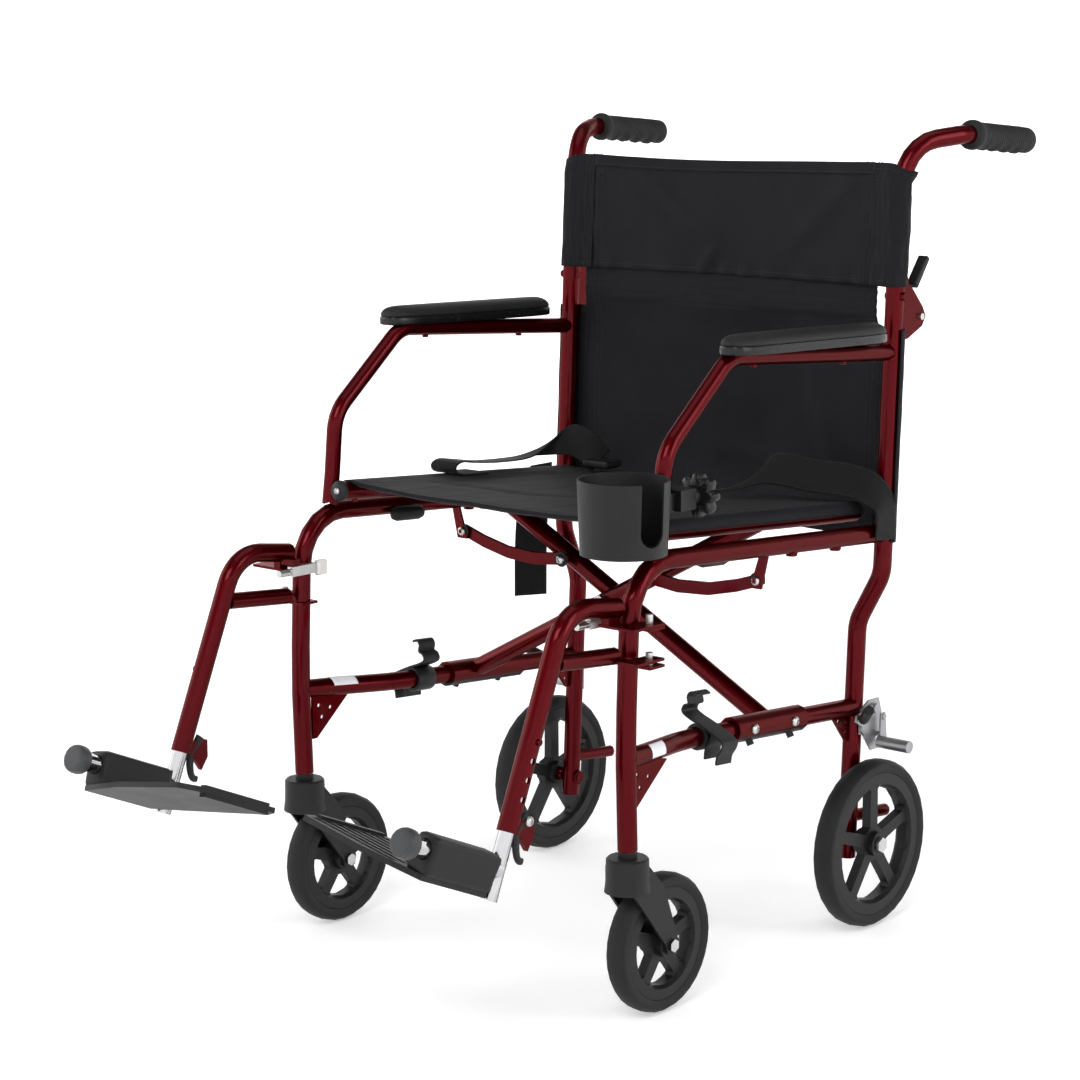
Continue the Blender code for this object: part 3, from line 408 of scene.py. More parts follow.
def light_studio():
    soft_box("key", (1.2, -3.2, 3.4), (0, 0, 0.4), (2.4, 1.6), 74)
    soft_box("side", (3.6, 0.8, 2.0), (0, 0, 0.5), (1.2, 2.4), 38)
    soft_box("fill", (-3.4, -1.6, 2.2), (0, 0, 0.5), (1.6, 2.4), 30)
    soft_box("top", (0, 0.3, 4.2), (0, 0, 0), (3.0, 3.0), 32)
    world = bpy.data.worlds.new("studio")
    world.use_nodes = True
    sky = world.node_tree.nodes["Background"]
    sky.inputs["Color"].default_value = (1.0, 1.0, 1.0, 1)
    sky.inputs["Strength"].default_value = 0.26
    bpy.context.scene.world = world
    bpy.context.scene.view_settings.view_transform = "Standard"


def lay_floor():
    """Floor that sweeps up into a backdrop all the way round; it glows with painted light, weaker near the
    chair and stronger further out.
    """
    bm = bmesh.new()
    rings = []
    sweep = ((0, -0.0002), (3.0, -0.0002), (6.0, -0.0002), (8.0, 0.3), (9.5, 1.8), (10, 5.0))
    steps = 64
    angles = [a * math.pi / 32 for a in range(steps)]
    for radius, height in sweep:
        rings.append([bm.verts.new((radius * math.cos(a), radius * math.sin(a), height))
                      for a in angles])
    for ring, outer in zip(rings, rings[1:]):
        for k in range(steps):
            n = (k + 1) % steps
            bm.faces.new((ring[k], outer[k], outer[n], ring[n]))
    bmesh.ops.remove_doubles(bm, verts=bm.verts, dist=1e-5)
    mesh = bpy.data.meshes.new("floor")
    bm.to_mesh(mesh)
    bm.free()
    mesh.shade_smooth()
    look, tree, shader = shader_of("floor_paint_and_painted_glow")
    tint = noise_at(tree, object_place(tree), 3, 3)
    tree.links.new(ramp(tree, tint, (0.91, 0.91, 0.91), (0.93, 0.93, 0.93)), shader.inputs["Base Color"])
    shader.inputs["Roughness"].default_value = 0.75
    # painted light: the floor glows, with emission rising from 0.30 near the chair to 0.85 further out, so
    # it reads white while shadows near the chair stay visible
    shader.inputs["Emission Color"].default_value = (1, 1, 1, 1)
    reach = tree.nodes.new("ShaderNodeVectorMath")
    reach.operation = "LENGTH"
    tree.links.new(object_place(tree), reach.inputs[0])
    glow = spread(tree, reach.outputs["Value"], 0.30, 0.85)
    glow.node.inputs["From Min"].default_value = 0.9
    glow.node.inputs["From Max"].default_value = 4.0
    tree.links.new(glow, shader.inputs["Emission Strength"])
    mesh.materials.append(look)
    floor = bpy.data.objects.new("floor", mesh)
    bpy.context.scene.collection.objects.link(floor)


# ---------------------------------------------------------------- sewn sheets
STITCH_GAP = 0.0042
STITCH_LENGTH = 0.0027


def surface_frame(surface, u, v):
    """Point and unit normal of the surface at (u, v)."""
    step = 0.002
    along = surface(min(u + step, 1), v) - surface(max(u - step, 0), v)
    across = surface(u, min(v + step, 1)) - surface(u, max(v - step, 0))
    return surface(u, v), along.cross(across).normalized()


def add_stitches(bm, surface, line, lift):
    """Row of thread stitches along a line of (u, v) points, on both faces of the sheet."""
    path = [surface_frame(surface, u, v) for u, v in line]
    travelled = 0.0
    for (a, normal), (b, _) in zip(path, path[1:]):
        length = (b - a).length
        if length < 1e-6:
            continue
        along = (b - a) / length
        while travelled < length:
            start = a + along * travelled
            for face in (1, -1):
                base = start + normal * lift * face
                side = along.cross(normal) * 0.00035
                end = base + along * STITCH_LENGTH
                crown = (base + end) / 2 + normal * 0.00045 * face
                ring = [bm.verts.new(p) for p in (base - side, end - side, end + side, base + side)]
                top = bm.verts.new(crown)
                for k in range(4):
                    face_made = bm.faces.new((ring[k], ring[(k + 1) % 4], top))
                    face_made.material_index = 1
                bm.faces.new(ring[::-1]).material_index = 1
            travelled += STITCH_GAP
        travelled -= length


def sheet_piece(name, columns, rows, surface, thickness, look, body, seams=()):
    """Sheet with both faces and its cut edge, with rows of stitches sewn into it."""
    bm = bmesh.new()
    layers = ([], [])
    for j in range(rows + 1):
        for layer in layers:
            layer.append([])
        for i in range(columns + 1):
            point, normal = surface_frame(surface, i / columns, j / rows)
            layers[0][-1].append(bm.verts.new(point + normal * thickness / 2))
            layers[1][-1].append(bm.verts.new(point - normal * thickness / 2))
    for j in range(rows):
        for i in range(columns):
            front = (layers[0][j][i], layers[0][j][i + 1], layers[0][j + 1][i + 1], layers[0][j + 1][i])
            rear = (layers[1][j][i], layers[1][j + 1][i], layers[1][j + 1][i + 1], layers[1][j][i + 1])
            bm.faces.new(front)
            bm.faces.new(rear)
    for i in range(columns):
        for j, flip in ((0, False), (rows, True)):
            ring = (layers[0][j][i], layers[1][j][i], layers[1][j][i + 1], layers[0][j][i + 1])
            bm.faces.new(ring[::-1] if flip else ring)
    for j in range(rows):
        for i, flip in ((0, True), (columns, False)):
            ring = (layers[0][j][i], layers[1][j][i], layers[1][j + 1][i], layers[0][j + 1][i])
            bm.faces.new(ring[::-1] if flip else ring)
    for face in bm.faces:
        face.smooth = True
    for line in seams:
        add_stitches(bm, surface, line, thickness / 2)
    mesh = bpy.data.meshes.new(name)
    bm.to_mesh(mesh)
    bm.free()
    piece = place_piece(name, mesh, look, body, smooth=False)
    mesh.materials.append(LOOKS["thread"])
    return piece


def line_across(v, u0=0.0, u1=1.0, steps=40):
    return [(u0 + (u1 - u0) * k / steps, v) for k in range(steps + 1)]


def line_along(u, v0=0.0, v1=1.0, steps=40):
    return [(u, v0 + (v1 - v0) * k / steps) for k in range(steps + 1)]


def smooth_step(low, high, value):
    t = min(max((value - low) / (high - low), 0.0), 1.0)
    return t * t * (3 - 2 * t)


def ripple(x, y, z, scale, depth):
    return noise.noise(Vector((x, y, z)) * scale) * depth


def crease(px, pz, start, end, width, depth):
    """Depth of a soft fold that runs from start to end, felt at (px, pz)."""
    run = Vector((end[0] - start[0], end[1] - start[1]))
    offset = Vector((px - start[0], pz - start[1]))
    t = min(max(offset.dot(run) / run.length_squared, 0.0), 1.0)
    gap = (offset - run * t).length / width
    return depth * math.exp(-gap * gap) * math.sin(math.pi * (0.1 + 0.8 * t))


# ---------------------------------------------------------------- back upholstery
BAND_LOW, BAND_HIGH = 0.7640, 0.9060
BAND_SEAM = 0.2115                 # x of the seams at both ends of the upper band
PANEL_LOW, PANEL_HIGH = 0.4640, 0.7800
PANEL_EDGE = 0.2260
PLEAT_Z, PLEAT_STEP = 0.7235, 0.0105


def tube_line(z):
    """x and y of the back tube's middle at height z."""
    if z < 0.7652:
        return FRAME_X, post_y(z)
    if z < 0.885:
        return FRAME_X, 0.0386 + 0.0576 * (z - 0.7652)
    lean = (z - 0.885) / 0.045
    return FRAME_X + 0.0075 * lean, 0.0455 + 0.0165 * lean


def band_sag(x):
    return 0.013 * (1 - (x / BAND_SEAM) ** 2)


def band_surface(u, v):
    z = BAND_LOW + (BAND_HIGH - BAND_LOW) * v
    x = BAND_SEAM * (2 * u - 1)
    y = tube_line(z)[1] - 0.0045 + band_sag(x)
    y -= crease(x, z, (-0.15, 0.895), (0.02, 0.775), 0.010, 0.0042)
    y -= crease(x, z, (0.19, 0.89), (0.09, 0.80), 0.014, 0.0030)
    y -= crease(x, z, (-0.02, 0.80), (-0.05, 0.765), 0.008, 0.0028)
    low = math.exp(-((z - BAND_LOW) / 0.016) ** 2)
    y += low * 0.0013 * math.sin(x * 150 + 2 * math.sin(x * 31))
    y += ripple(x, 0, z, 16, 0.0028)
    droop = 0.004 * (1 - (x / BAND_SEAM) ** 2) * v
    return at(x, y, z - droop + 0.0012 * math.sin(x * 14) * v)


def sleeve_path(u, z, seam, radius, front_gap, back_gap):
    """Loop from the seam in front of the tube, round its outer side and back behind it."""
    centre_x, centre_y = tube_line(z)
    flat = centre_x - seam
    arc = math.pi * radius
    travelled = u * (flat * 2 + arc)
    if travelled < flat:
        share = smooth_step(0, 1, travelled / flat)
        return seam + travelled, centre_y + front_gap + (-radius - front_gap) * share
    if travelled < flat + arc:
        angle = -math.pi / 2 + (travelled - flat) / radius
        return centre_x + radius * math.cos(angle), centre_y + radius * math.sin(angle)
    share = smooth_step(0, 1, (travelled - flat - arc) / flat)
    return centre_x - (travelled - flat - arc), centre_y + radius + (back_gap - radius) * share


def band_sleeve(side, word):
    """Sleeve at one end of the upper band, closed round the push tube."""
    def surface(u, v):
        z = BAND_LOW + (BAND_HIGH - BAND_LOW) * v
        x, y = sleeve_path(u, z, BAND_SEAM - 0.001, 0.0132, -0.0060, -0.0030)
        outer = smooth_step(0.2, 0.5, u) * (1 - smooth_step(0.6, 0.9, u))
        z -= 0.010 * outer * smooth_step(0.8, 1.0, v)
        x += ripple(u * 2, z, side, 26, 0.0016) * outer
        y += ripple(z, u * 3, side, 30, 0.0018)
        return at(side * x, y, z)

    seams = [line_along(0.055, 0, 1), line_along(0.105, 0, 1), line_along(0.945, 0, 1),
             line_across(0.045, 0.02, 0.98), line_across(0.955, 0.02, 0.98)]
    piece = sheet_piece("back_band_sleeve_" + word, 48, 48, surface, CLOTH, "nylon", word + "_back",
                        seams)
    return piece


def lap_behind(z):
    """How far the lower panel hangs behind the middle of the posts."""
    return 0.0115 - 0.0105 * smooth_step(0.690, 0.738, z)


def panel_surface(u, v):
    z = PANEL_LOW + (PANEL_HIGH - PANEL_LOW) * v
    narrow = 1 - 0.010 * smooth_step(0.715, 0.725, z)
    x = PANEL_EDGE * narrow * (2 * u - 1)
    y = post_y(z) + lap_behind(z) + 0.0120 * (1 - (x / PANEL_EDGE) ** 2)
    pleats = smooth_step(0.722, 0.726, z) * (1 - smooth_step(0.764, 0.768, z))
    y -= pleats * 0.0019 * abs(math.sin(math.pi * (z - PLEAT_Z) / PLEAT_STEP))
    y -= crease(x, z, (-0.16, 0.70), (0.03, 0.60), 0.016, 0.0032)
    y -= crease(x, z, (0.12, 0.66), (0.17, 0.52), 0.014, 0.0028)
    y -= crease(x, z, (-0.05, 0.55), (0.13, 0.535), 0.012, 0.0026)
    y += ripple(x, 1.7, z, 11, 0.0036) * (1 - pleats)
    return at(x, y, z)


def post_flap(side, word):
    """Side of the lower sling, which passes behind the post and turns forward outside it."""
    low, high = PANEL_LOW, 0.7140
    radius = 0.0138

    def surface(u, v):
        z = low + (high - low) * v
        centre_x, centre_y = tube_line(z)
        flat = centre_x - PANEL_EDGE
        travelled = u * (flat + radius * 1.75)
        lap = lap_behind(z)
        if travelled < flat:
            x = PANEL_EDGE + travelled
            y = centre_y + lap + (radius - lap) * smooth_step(0, 1, travelled / flat)
        else:
            angle = math.pi / 2 - (travelled - flat) / radius
            x = centre_x + radius * math.cos(angle)
            y = centre_y + radius * math.sin(angle)
        x += ripple(z, side, u, 22, 0.0012) * u
        return at(side * x, y, z)

    seams = [line_along(0.10), line_along(0.93), line_across(0.03), line_across(0.97)]
    piece = sheet_piece("back_flap_" + word, 22, 60, surface, CLOTH, "nylon", word + "_frame", seams)
    return piece


def make_back():
    band_seams = [line_across(0.045), line_across(0.955), line_along(0.012), line_along(0.988),
                  line_along(0.030), line_along(0.970)]
    band = sheet_piece("back_band", 110, 44, band_surface, CLOTH, "nylon", "left_back", band_seams)
    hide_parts("upper_back_sling")
    hem = band_hem()
    squash_between(band)
    squash_between(hem)

    pleat_lines = [line_across((PLEAT_Z + PLEAT_STEP * k - PANEL_LOW) / (PANEL_HIGH - PANEL_LOW))
                   for k in range(5)]
    panel_seams = pleat_lines + [line_across(0.02), line_along(0.030), line_along(0.045),
                                 line_along(0.955), line_along(0.970)]
    panel = sheet_piece("back_panel", 120, 92, panel_surface, CLOTH, "nylon", "left_frame",
                        panel_seams)
    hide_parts("lower_back_sling")
    squash_between(panel)

    for side, word in ((1, "left"), (-1, "right")):
        band_sleeve(side, word)
        post_flap(side, word)


def band_hem():
    """Folded hem: a second layer laid on the front of the band along its top."""
    low, high = 0.900, 1.0

    def lifted(u, v):
        point, normal = surface_frame(band_surface, u, low + (high - low) * v)
        return point - normal * CLOTH if normal.y > 0 else point + normal * CLOTH

    piece = sheet_piece("back_band_hem", 110, 6, lifted, CLOTH, "nylon", "left_back",
                        [line_across(0.18)])
    return piece


def squash_between(piece):
    """Gives the piece its own copy of its mesh."""
    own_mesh(piece)


# ---------------------------------------------------------------- seat
SEAT_FRONT, SEAT_REAR = -0.4010, -0.0050
SEAT_WRAP = 0.0122                 # radius of the cloth round a seat rail
SEAT_TURN = math.radians(95)
SEAT_ROLL = 0.016                  # length of the rolled front edge
SEAT_LANE = 0.032                  # distance between two quilting lines


def seat_surface(u, v):
    """Seat from under one rail, over both and under the other; its front edge is rolled."""
    arc = SEAT_WRAP * SEAT_TURN
    travelled = u * (2 * arc + 2 * SEAT_X)
    run = v * (SEAT_REAR - SEAT_FRONT + SEAT_ROLL)
    if run < SEAT_ROLL:
        angle = math.pi * run / SEAT_ROLL
        y = SEAT_FRONT + 0.0045 + 0.010 * (1 - run / SEAT_ROLL) - 0.0045 * math.sin(angle)
        under = 0.0042 * (1 + math.cos(angle)) / 2
    else:
        y = SEAT_FRONT + 0.0045 + (run - SEAT_ROLL)
        under = 0.0
    rail_z = seat_rail_z(y)
    radius = SEAT_WRAP - 0.4 * under
    if travelled < arc:
        angle = math.pi / 2 + SEAT_TURN * (1 - travelled / arc)
        return at(-SEAT_X + radius * math.cos(angle), y, rail_z + radius * math.sin(angle))
    if travelled > arc + 2 * SEAT_X:
        angle = math.pi / 2 - SEAT_TURN * (travelled - arc - 2 * SEAT_X) / arc
        return at(SEAT_X + radius * math.cos(angle), y, rail_z + radius * math.sin(angle))
    x = travelled - arc - SEAT_X
    edge = 1 - (x / SEAT_X) ** 2
    z = rail_z + radius - 0.007 * edge - under * min(edge * 8, 1)
    lane = (x + SEAT_X) % SEAT_LANE - SEAT_LANE / 2
    z -= 0.0004 * math.exp(-(lane / 0.0018) ** 2) * min(edge * 8, 1)
    z += ripple(x, y, 3.1, 14, 0.0018) * min(edge * 3, 1)
    z -= crease(x, y, (0.16, -0.36), (-0.02, -0.18), 0.016, 0.0026) * min(edge * 3, 1)
    z -= crease(x, y, (-0.17, -0.30), (0.02, -0.24), 0.013, 0.0022) * min(edge * 3, 1)
    return at(x, y, z)


def make_seat():
    arc = SEAT_WRAP * SEAT_TURN
    whole = 2 * arc + 2 * SEAT_X
    lanes = [(arc + SEAT_X - 0.2075 + SEAT_LANE * k) / whole for k in range(14)]
    seams = [line_along(u, 0.05, 1) for u in lanes]
    seams += [line_across(0.075, arc / whole, 1 - arc / whole), line_across(0.985)]
    seams += [line_along((arc + s) / whole, 0.05, 1) for s in (0.026, 2 * SEAT_X - 0.026)]
    piece = sheet_piece("seat_cloth", 190, 84, seat_surface, CLOTH, "nylon", None, seams)
    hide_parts("seat_sling")
    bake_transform(piece, "cross_b", "cross_a", start=(SEAT_X, 0, 0.5), end=(-SEAT_X, 0, 0.5))


# ---------------------------------------------------------------- belts
def strap(name, stations, body):
    """Webbing through stations of (x, y, z) with the direction of its width."""
    middle = spline_points([at(*place) for place, _ in stations], 12)
    sideways = spline_points([Vector(side) for _, side in stations], 12)
    lengths = [0.0]
    for a, b in zip(middle, middle[1:]):
        lengths.append(lengths[-1] + (b - a).length)
    total = lengths[-1]

    def surface(u, v):
        target = v * total
        k = 0
        while k < len(lengths) - 2 and lengths[k + 1] < target:
            k += 1
        share = (target - lengths[k]) / max(lengths[k + 1] - lengths[k], 1e-9)
        point = middle[k].lerp(middle[k + 1], share)
        side = sideways[k].lerp(sideways[k + 1], share).normalized()
        return point + side * (u - 0.5) * BELT_W

    rows = max(int(total / 0.004), 12)
    seams = [line_along(0.05, 0.01, 0.99, rows), line_along(0.95, 0.01, 0.99, rows)]
    piece = sheet_piece(name, 12, rows, surface, WEBBING, "webbing", body, seams)
    return piece, total


NEAR_BELT = [((0.088, -0.066, 0.5225), (0.45, 0.88, 0.10)),
             ((0.104, -0.052, 0.5310), (0.25, 0.85, 0.45)),
             ((0.122, -0.040, 0.5450), (0.10, 0.60, 0.80)),
             ((0.145, -0.034, 0.5470), (0.05, 0.50, 0.86)),
             ((0.178, -0.026, 0.5420), (0.0, 0.50, 0.86)),
             ((0.212, -0.016, 0.5400), (0.0, 0.52, 0.85)),
             ((0.240, -0.008, 0.5350), (-0.05, 0.60, 0.80)),
             ((0.2560, 0.000, 0.5240), (-0.10, 0.75, 0.65)),
             ((0.2628, 0.006, 0.5060), (-0.05, 0.95, 0.25)),
             ((0.2630, 0.006, 0.4700), (0.0, 1.00, -0.10))]
FAR_BELT = [((-0.156, -0.014, 0.5250), (0.05, 0.80, 0.55)),
            ((-0.172, -0.018, 0.5400), (0.05, 0.55, 0.83)),
            ((-0.195, -0.020, 0.5490), (0.0, 0.48, 0.87)),
            ((-0.214, -0.030, 0.5470), (0.15, 0.60, 0.78)),
            ((-0.224, -0.060, 0.5390), (0.60, 0.65, 0.40)),
            ((-0.222, -0.100, 0.5330), (0.95, 0.25, 0.10)),
            ((-0.217, -0.160, 0.5360), (1.00, 0.05, 0.05)),
            ((-0.216, -0.205, 0.5420), (1.00, 0.0, 0.0)),
            ((-0.216, -0.228, 0.5450), (1.00, 0.0, 0.0)),
            ((-0.216, -0.240, 0.5390), (1.00, 0.0, 0.0)),
            ((-0.215, -0.230, 0.5300), (1.00, 0.0, 0.0)),
            ((-0.214, -0.180, 0.5265), (1.00, 0.0, 0.0))]
TAIL_BELT = [((-0.2420, -0.030, 0.5150), (0.0, 1.0, 0.0)),
             ((-0.2050, -0.085, 0.4870), (0.35, 0.93, 0.0)),
             ((-0.2030, -0.092, 0.4600), (0.45, 0.89, 0.0)),
             ((-0.2030, -0.095, 0.4200), (0.50, 0.86, 0.0)),
             ((-0.2010, -0.098, 0.3600), (0.50, 0.86, 0.0))]


def make_belts():
    near, length = strap("belt_near", NEAR_BELT, "left_frame")
    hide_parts("left_belt")
    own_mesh(near)
    far, length = strap("belt_far", FAR_BELT, "right_frame")
    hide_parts("right_belt")
    tail, length = strap("belt_tail", TAIL_BELT, "right_frame")


# ---------------------------------------------------------------- hard parts
HANGER_DOWN = Vector((0, -0.3905, -0.9206))
HINGE_ALONG = Vector((0, -0.9166, 0.3998))
HANGER_FOOT = (-0.6448, 0.2566)
HINGE_ROOT = (-0.6603, 0.2200)


def near_line(point, y, z, radius):
    """Whether a point lies within a radius of a line across the chair."""
    return math.hypot(point.y - AXLE_Y - y, point.z - z) < radius


def footrest_regions(side):
    root = at(side * FRAME_X, *HINGE_ROOT)
    foot = at(side * FRAME_X, *HANGER_FOOT)
    return [("knob_grey", lambda c: (c - root).dot(HINGE_ALONG) > 0.1325),
            ("black_plastic", lambda c: (c - foot).dot(HANGER_DOWN) > 0.0640)]


def regions_of(node):
    """Parts of a node with another material: (look, test that all corners of a face pass)."""
    side = -1 if node.startswith("right_") else 1
    if node.endswith("footrest_tube"):
        return footrest_regions(side)
    if node.endswith("caster_fork"):
        return [("zinc", lambda c: c.z > 0.1885),
                ("zinc", lambda c: near_line(c, *FRONT_AXLE, 0.010)
                 and abs(abs(c.x) - FRAME_X) > 0.0206)]
    if node.endswith("side_tube"):
        return [("zinc", lambda c: near_line(c, -0.450, c.z, 0.0052) and 0.375 < c.z < 0.475
                 and abs(abs(c.x) - 0.2765) < 0.0052)]
    if node.endswith("lock_lever"):
        return [("aluminium", lambda c: abs(c.x) < 0.24005)]
    if node.endswith("push_tube"):
        return [("zinc", lambda c: c.y - AXLE_Y > 0.060 and c.z < 0.775
                 and abs(abs(c.x) - FRAME_X) > 0.0026)]
    if node.endswith("back_post"):
        return [("zinc", lambda c: near_line(c, *REAR_AXLE, 0.012) and abs(c.x) > 0.2315),
                ("zinc", lambda c: near_line(c, 0.081, 0.7263, 0.0075)),
                ("zinc", lambda c: c.z > 0.735 and c.y - AXLE_Y < post_y(c.z) - 0.0113)]
    if node.endswith("arm_tube"):
        return [("zinc", lambda c: c.z < arm_z(c.y - AXLE_Y) - 0.0102 and c.y - AXLE_Y > -0.27)]
    if node.startswith("cross_tube"):
        return [("black_plastic", lambda c: c.z < lower_rail_z(c.y - AXLE_Y) - 0.0030
                 and abs(abs(c.x) - 0.220) < 0.0165)]
    if node.endswith("footrest_latch"):
        return [("white_nylon", lambda c: c.y - AXLE_Y > -0.4518)]
    if node.endswith("front_wheel"):
        return [("zinc", lambda c: near_line(c, *FRONT_AXLE, 0.0062))]
    if node.endswith("rear_wheel"):
        return [("zinc", lambda c: near_line(c, *REAR_AXLE, 0.0062))]
    return []


def polish_nodes(left_alone):
    for node in NODES:
        if node not in left_alone:
            polished(node, SLOT_OF[node], regions_of(node))


def rings_mesh(name, rings, sharp=60):
    """Closed skin over rings of points; faces that meet at more than sharp degrees stay crisp."""
    bm = bmesh.new()
    made = [[bm.verts.new(p) for p in ring] for ring in rings]
    count = len(rings[0])
    for ring, following in zip(made, made[1:]):
        for k in range(count):
            n = (k + 1) % count
            bm.faces.new((ring[k], ring[n], following[n], following[k]))
    bm.faces.new(made[0][::-1])
    bm.faces.new(made[-1])
    bmesh.ops.recalc_face_normals(bm, faces=bm.faces)
    sharpen(bm, sharp)
    mesh = bpy.data.meshes.new(name)
    bm.to_mesh(mesh)
    bm.free()
    return mesh


def tube_skin(name, points, radius, look, body, steps=16, flat=1.0):
    """Round or flattened bar along points; radius may be one number or a list."""
    radii = radius if isinstance(radius, list) else [radius] * len(points)
    rings = []
    for k, point in enumerate(points):
        along = (points[min(k + 1, len(points) - 1)] - points[max(k - 1, 0)]).normalized()
        side = along.cross(Vector((1, 0, 0)))
        side = side.normalized() if side.length > 0.1 else along.cross(Vector((0, 0, 1))).normalized()
        other = along.cross(side)
        rings.append([point + (side * math.cos(a) + other * math.sin(a) * flat) * radii[k]
                      for a in (2 * math.pi * s / steps for s in range(steps))])
    place_piece(name, rings_mesh(name, rings), look, body)


# ---------------------------------------------------------------- arm pads and grips
PAD_X, PAD_HALF_X = 0.2576, 0.0228
PAD_Y, PAD_HALF_Y = -0.1500, 0.1450
PAD_Z, PAD_SLOPE = 0.7085, 0.0275


def pad_ring(side, inset, height):
    """Outline of the arm pad, drawn in by inset, at a height over its tray."""
    ring = []
    for step in range(96):
        angle = 2 * math.pi * step / 96
        c, s = math.cos(angle), math.sin(angle)
        y = PAD_Y + math.copysign(abs(c) ** 0.32, c) * (PAD_HALF_Y - inset)
        x = PAD_X + math.copysign(abs(s) ** 0.62, s) * (PAD_HALF_X - inset)
        crown = height - PAD_SLOPE * (y - PAD_Y)
        ring.append(at(side * x, y, PAD_Z + crown))
    return ring


def arm_pad(side, word):
    base = [pad_ring(side, *step) for step in
            ((0.0030, 0.0), (0.0006, 0.0006), (0.0, 0.0020), (0.0, 0.0085), (0.0008, 0.0100),
             (0.0040, 0.0104))]
    place_piece("arm_pad_tray_" + word, rings_mesh("tray", base, 40), "gloss_black",
                word + "_frame")
    foam = [pad_ring(side, *step) for step in
            ((0.0042, 0.0100), (0.0016, 0.0106), (0.0010, 0.0122), (0.0014, 0.0142),
             (0.0028, 0.0168), (0.0052, 0.0190), (0.0085, 0.0207), (0.0122, 0.0219),
             (0.0160, 0.0226), (0.0195, 0.0229), (0.0218, 0.0230))]
    pad = place_piece("arm_pad_" + word, rings_mesh("pad", foam, 50), "pad_foam",
                      word + "_frame")
    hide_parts(word + "_arm_pad")


GRIP_START = (0.2842, 0.1340, 0.9374)
GRIP_END = (0.2839, 0.2636, 0.9267)
GRIP_LENGTH = 0.130


def grip_radius(run, angle):
    """Radius of the hand grip at a distance from its collar, with finger bumps beneath."""
    collar = 0.0022 * math.exp(-((run - 0.006) / 0.0055) ** 4)
    ribs = 0.00035 * math.sin(run * 2 * math.pi / 0.0042) * smooth_step(0.018, 0.026, run)
    ribs *= 1 - smooth_step(0.112, 0.118, run)
    under = max(-math.sin(angle), 0) ** 1.5
    fingers = 0.0016 * under * math.sin((run - 0.022) * 2 * math.pi / 0.024)
    fingers *= smooth_step(0.018, 0.03, run) * (1 - smooth_step(0.11, 0.12, run))
    lane = math.sin(angle * 2 + run * 55)
    groove = -0.0007 * math.exp(-(lane / 0.16) ** 2) * smooth_step(0.02, 0.03, run)
    groove *= 1 - smooth_step(0.100, 0.108, run)
    nose = max(run - 0.1235, 0) / 0.0065
    round_end = math.sqrt(max(1 - min(nose, 1) ** 2, 0.02))
    return (0.0155 + collar + ribs + fingers + groove) * round_end


def hand_grip(side, word):
    start = at(side * GRIP_START[0], *GRIP_START[1:])
    end = at(side * GRIP_END[0], *GRIP_END[1:])
    along = (end - start).normalized()
    level = along.cross(Vector((0, 0, 1))).normalized()
    up = level.cross(along)
    rings = []
    for k in range(131):
        run = GRIP_LENGTH * k / 130
        rings.append([start + along * run + (level * math.cos(a) + up * math.sin(a))
                      * grip_radius(run, a) for a in (2 * math.pi * s / 64 for s in range(64))])
    piece = place_piece("hand_grip_" + word, rings_mesh("grip", rings, 70), "grip_rubber",
                        word + "_back")
    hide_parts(word + "_grip")


# ---------------------------------------------------------------- small parts
def star_knob():
    """Eight-lobed clamping knob on its collar."""
    centre = at(0.2603, -0.3530, 0.5675)
    steps = 128
    profile = ((0.55, -0.0005), (0.86, 0.0), (0.97, 0.0018), (1.0, 0.0045), (1.0, 0.0115),
               (0.96, 0.0142), (0.86, 0.0158), (0.60, 0.0160), (0.52, 0.0150), (0.20, 0.0148))
    rings = []
    for scale, depth in profile:
        ring = []
        for step in range(steps):
            angle = 2 * math.pi * step / steps
            flute = (0.5 - 0.5 * math.cos(8 * angle)) ** 1.6
            radius = (0.0246 - 0.0056 * flute * min(scale * 1.1, 1)) * scale
            ring.append(centre + Vector((radius * math.cos(angle), depth,
                                         radius * math.sin(angle))))
        rings.append(ring)
    knob = place_piece("cup_star_knob", rings_mesh("knob", rings, 40), "gloss_black",
                       "cup_knob")
    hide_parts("cup_knob")
    collar = [(0.0075, -0.0085), (0.0085, -0.0070), (0.0085, 0.0005), (0.0, 0.0005),
              (0.0, -0.0190), (0.0038, -0.0190), (0.0038, -0.0085)]
    place_piece("cup_knob_collar", turned_mesh("collar", collar, centre, Vector((0, 1, 0)), 40),
                "black_plastic", "cup_knob", smooth=False)


def round_head(name, place, axis, body, radius=0.0042, look="zinc"):
    """Domed screw head with a round recess in its middle."""
    profile = [(0.0, 0.0), (radius, 0.0), (radius, radius * 0.25), (radius * 0.85, radius * 0.55),
               (radius * 0.5, radius * 0.72), (radius * 0.42, radius * 0.40), (0.0, radius * 0.40)]
    place_piece(name, turned_mesh(name, profile, place, axis, 32), look, body,
                smooth=False)


def rail_ends(side, word, body):
    """Black plug with its screw in the front of a seat rail."""
    y = -0.4070
    along = Vector((0, -1, 0.072)).normalized()
    place = at(side * SEAT_X, y, seat_rail_z(y))
    profile = [(0.0, -0.001), (0.0112, -0.001), (0.0124, 0.0004), (0.0124, 0.0042),
               (0.0108, 0.0062), (0.0, 0.0068)]
    place_piece("seat_rail_cap_" + word, turned_mesh("cap", profile, place, along, 48),
                "black_plastic", body, smooth=False)
    round_head("seat_rail_screw_" + word, place + along * 0.0066, along, body, 0.0040)


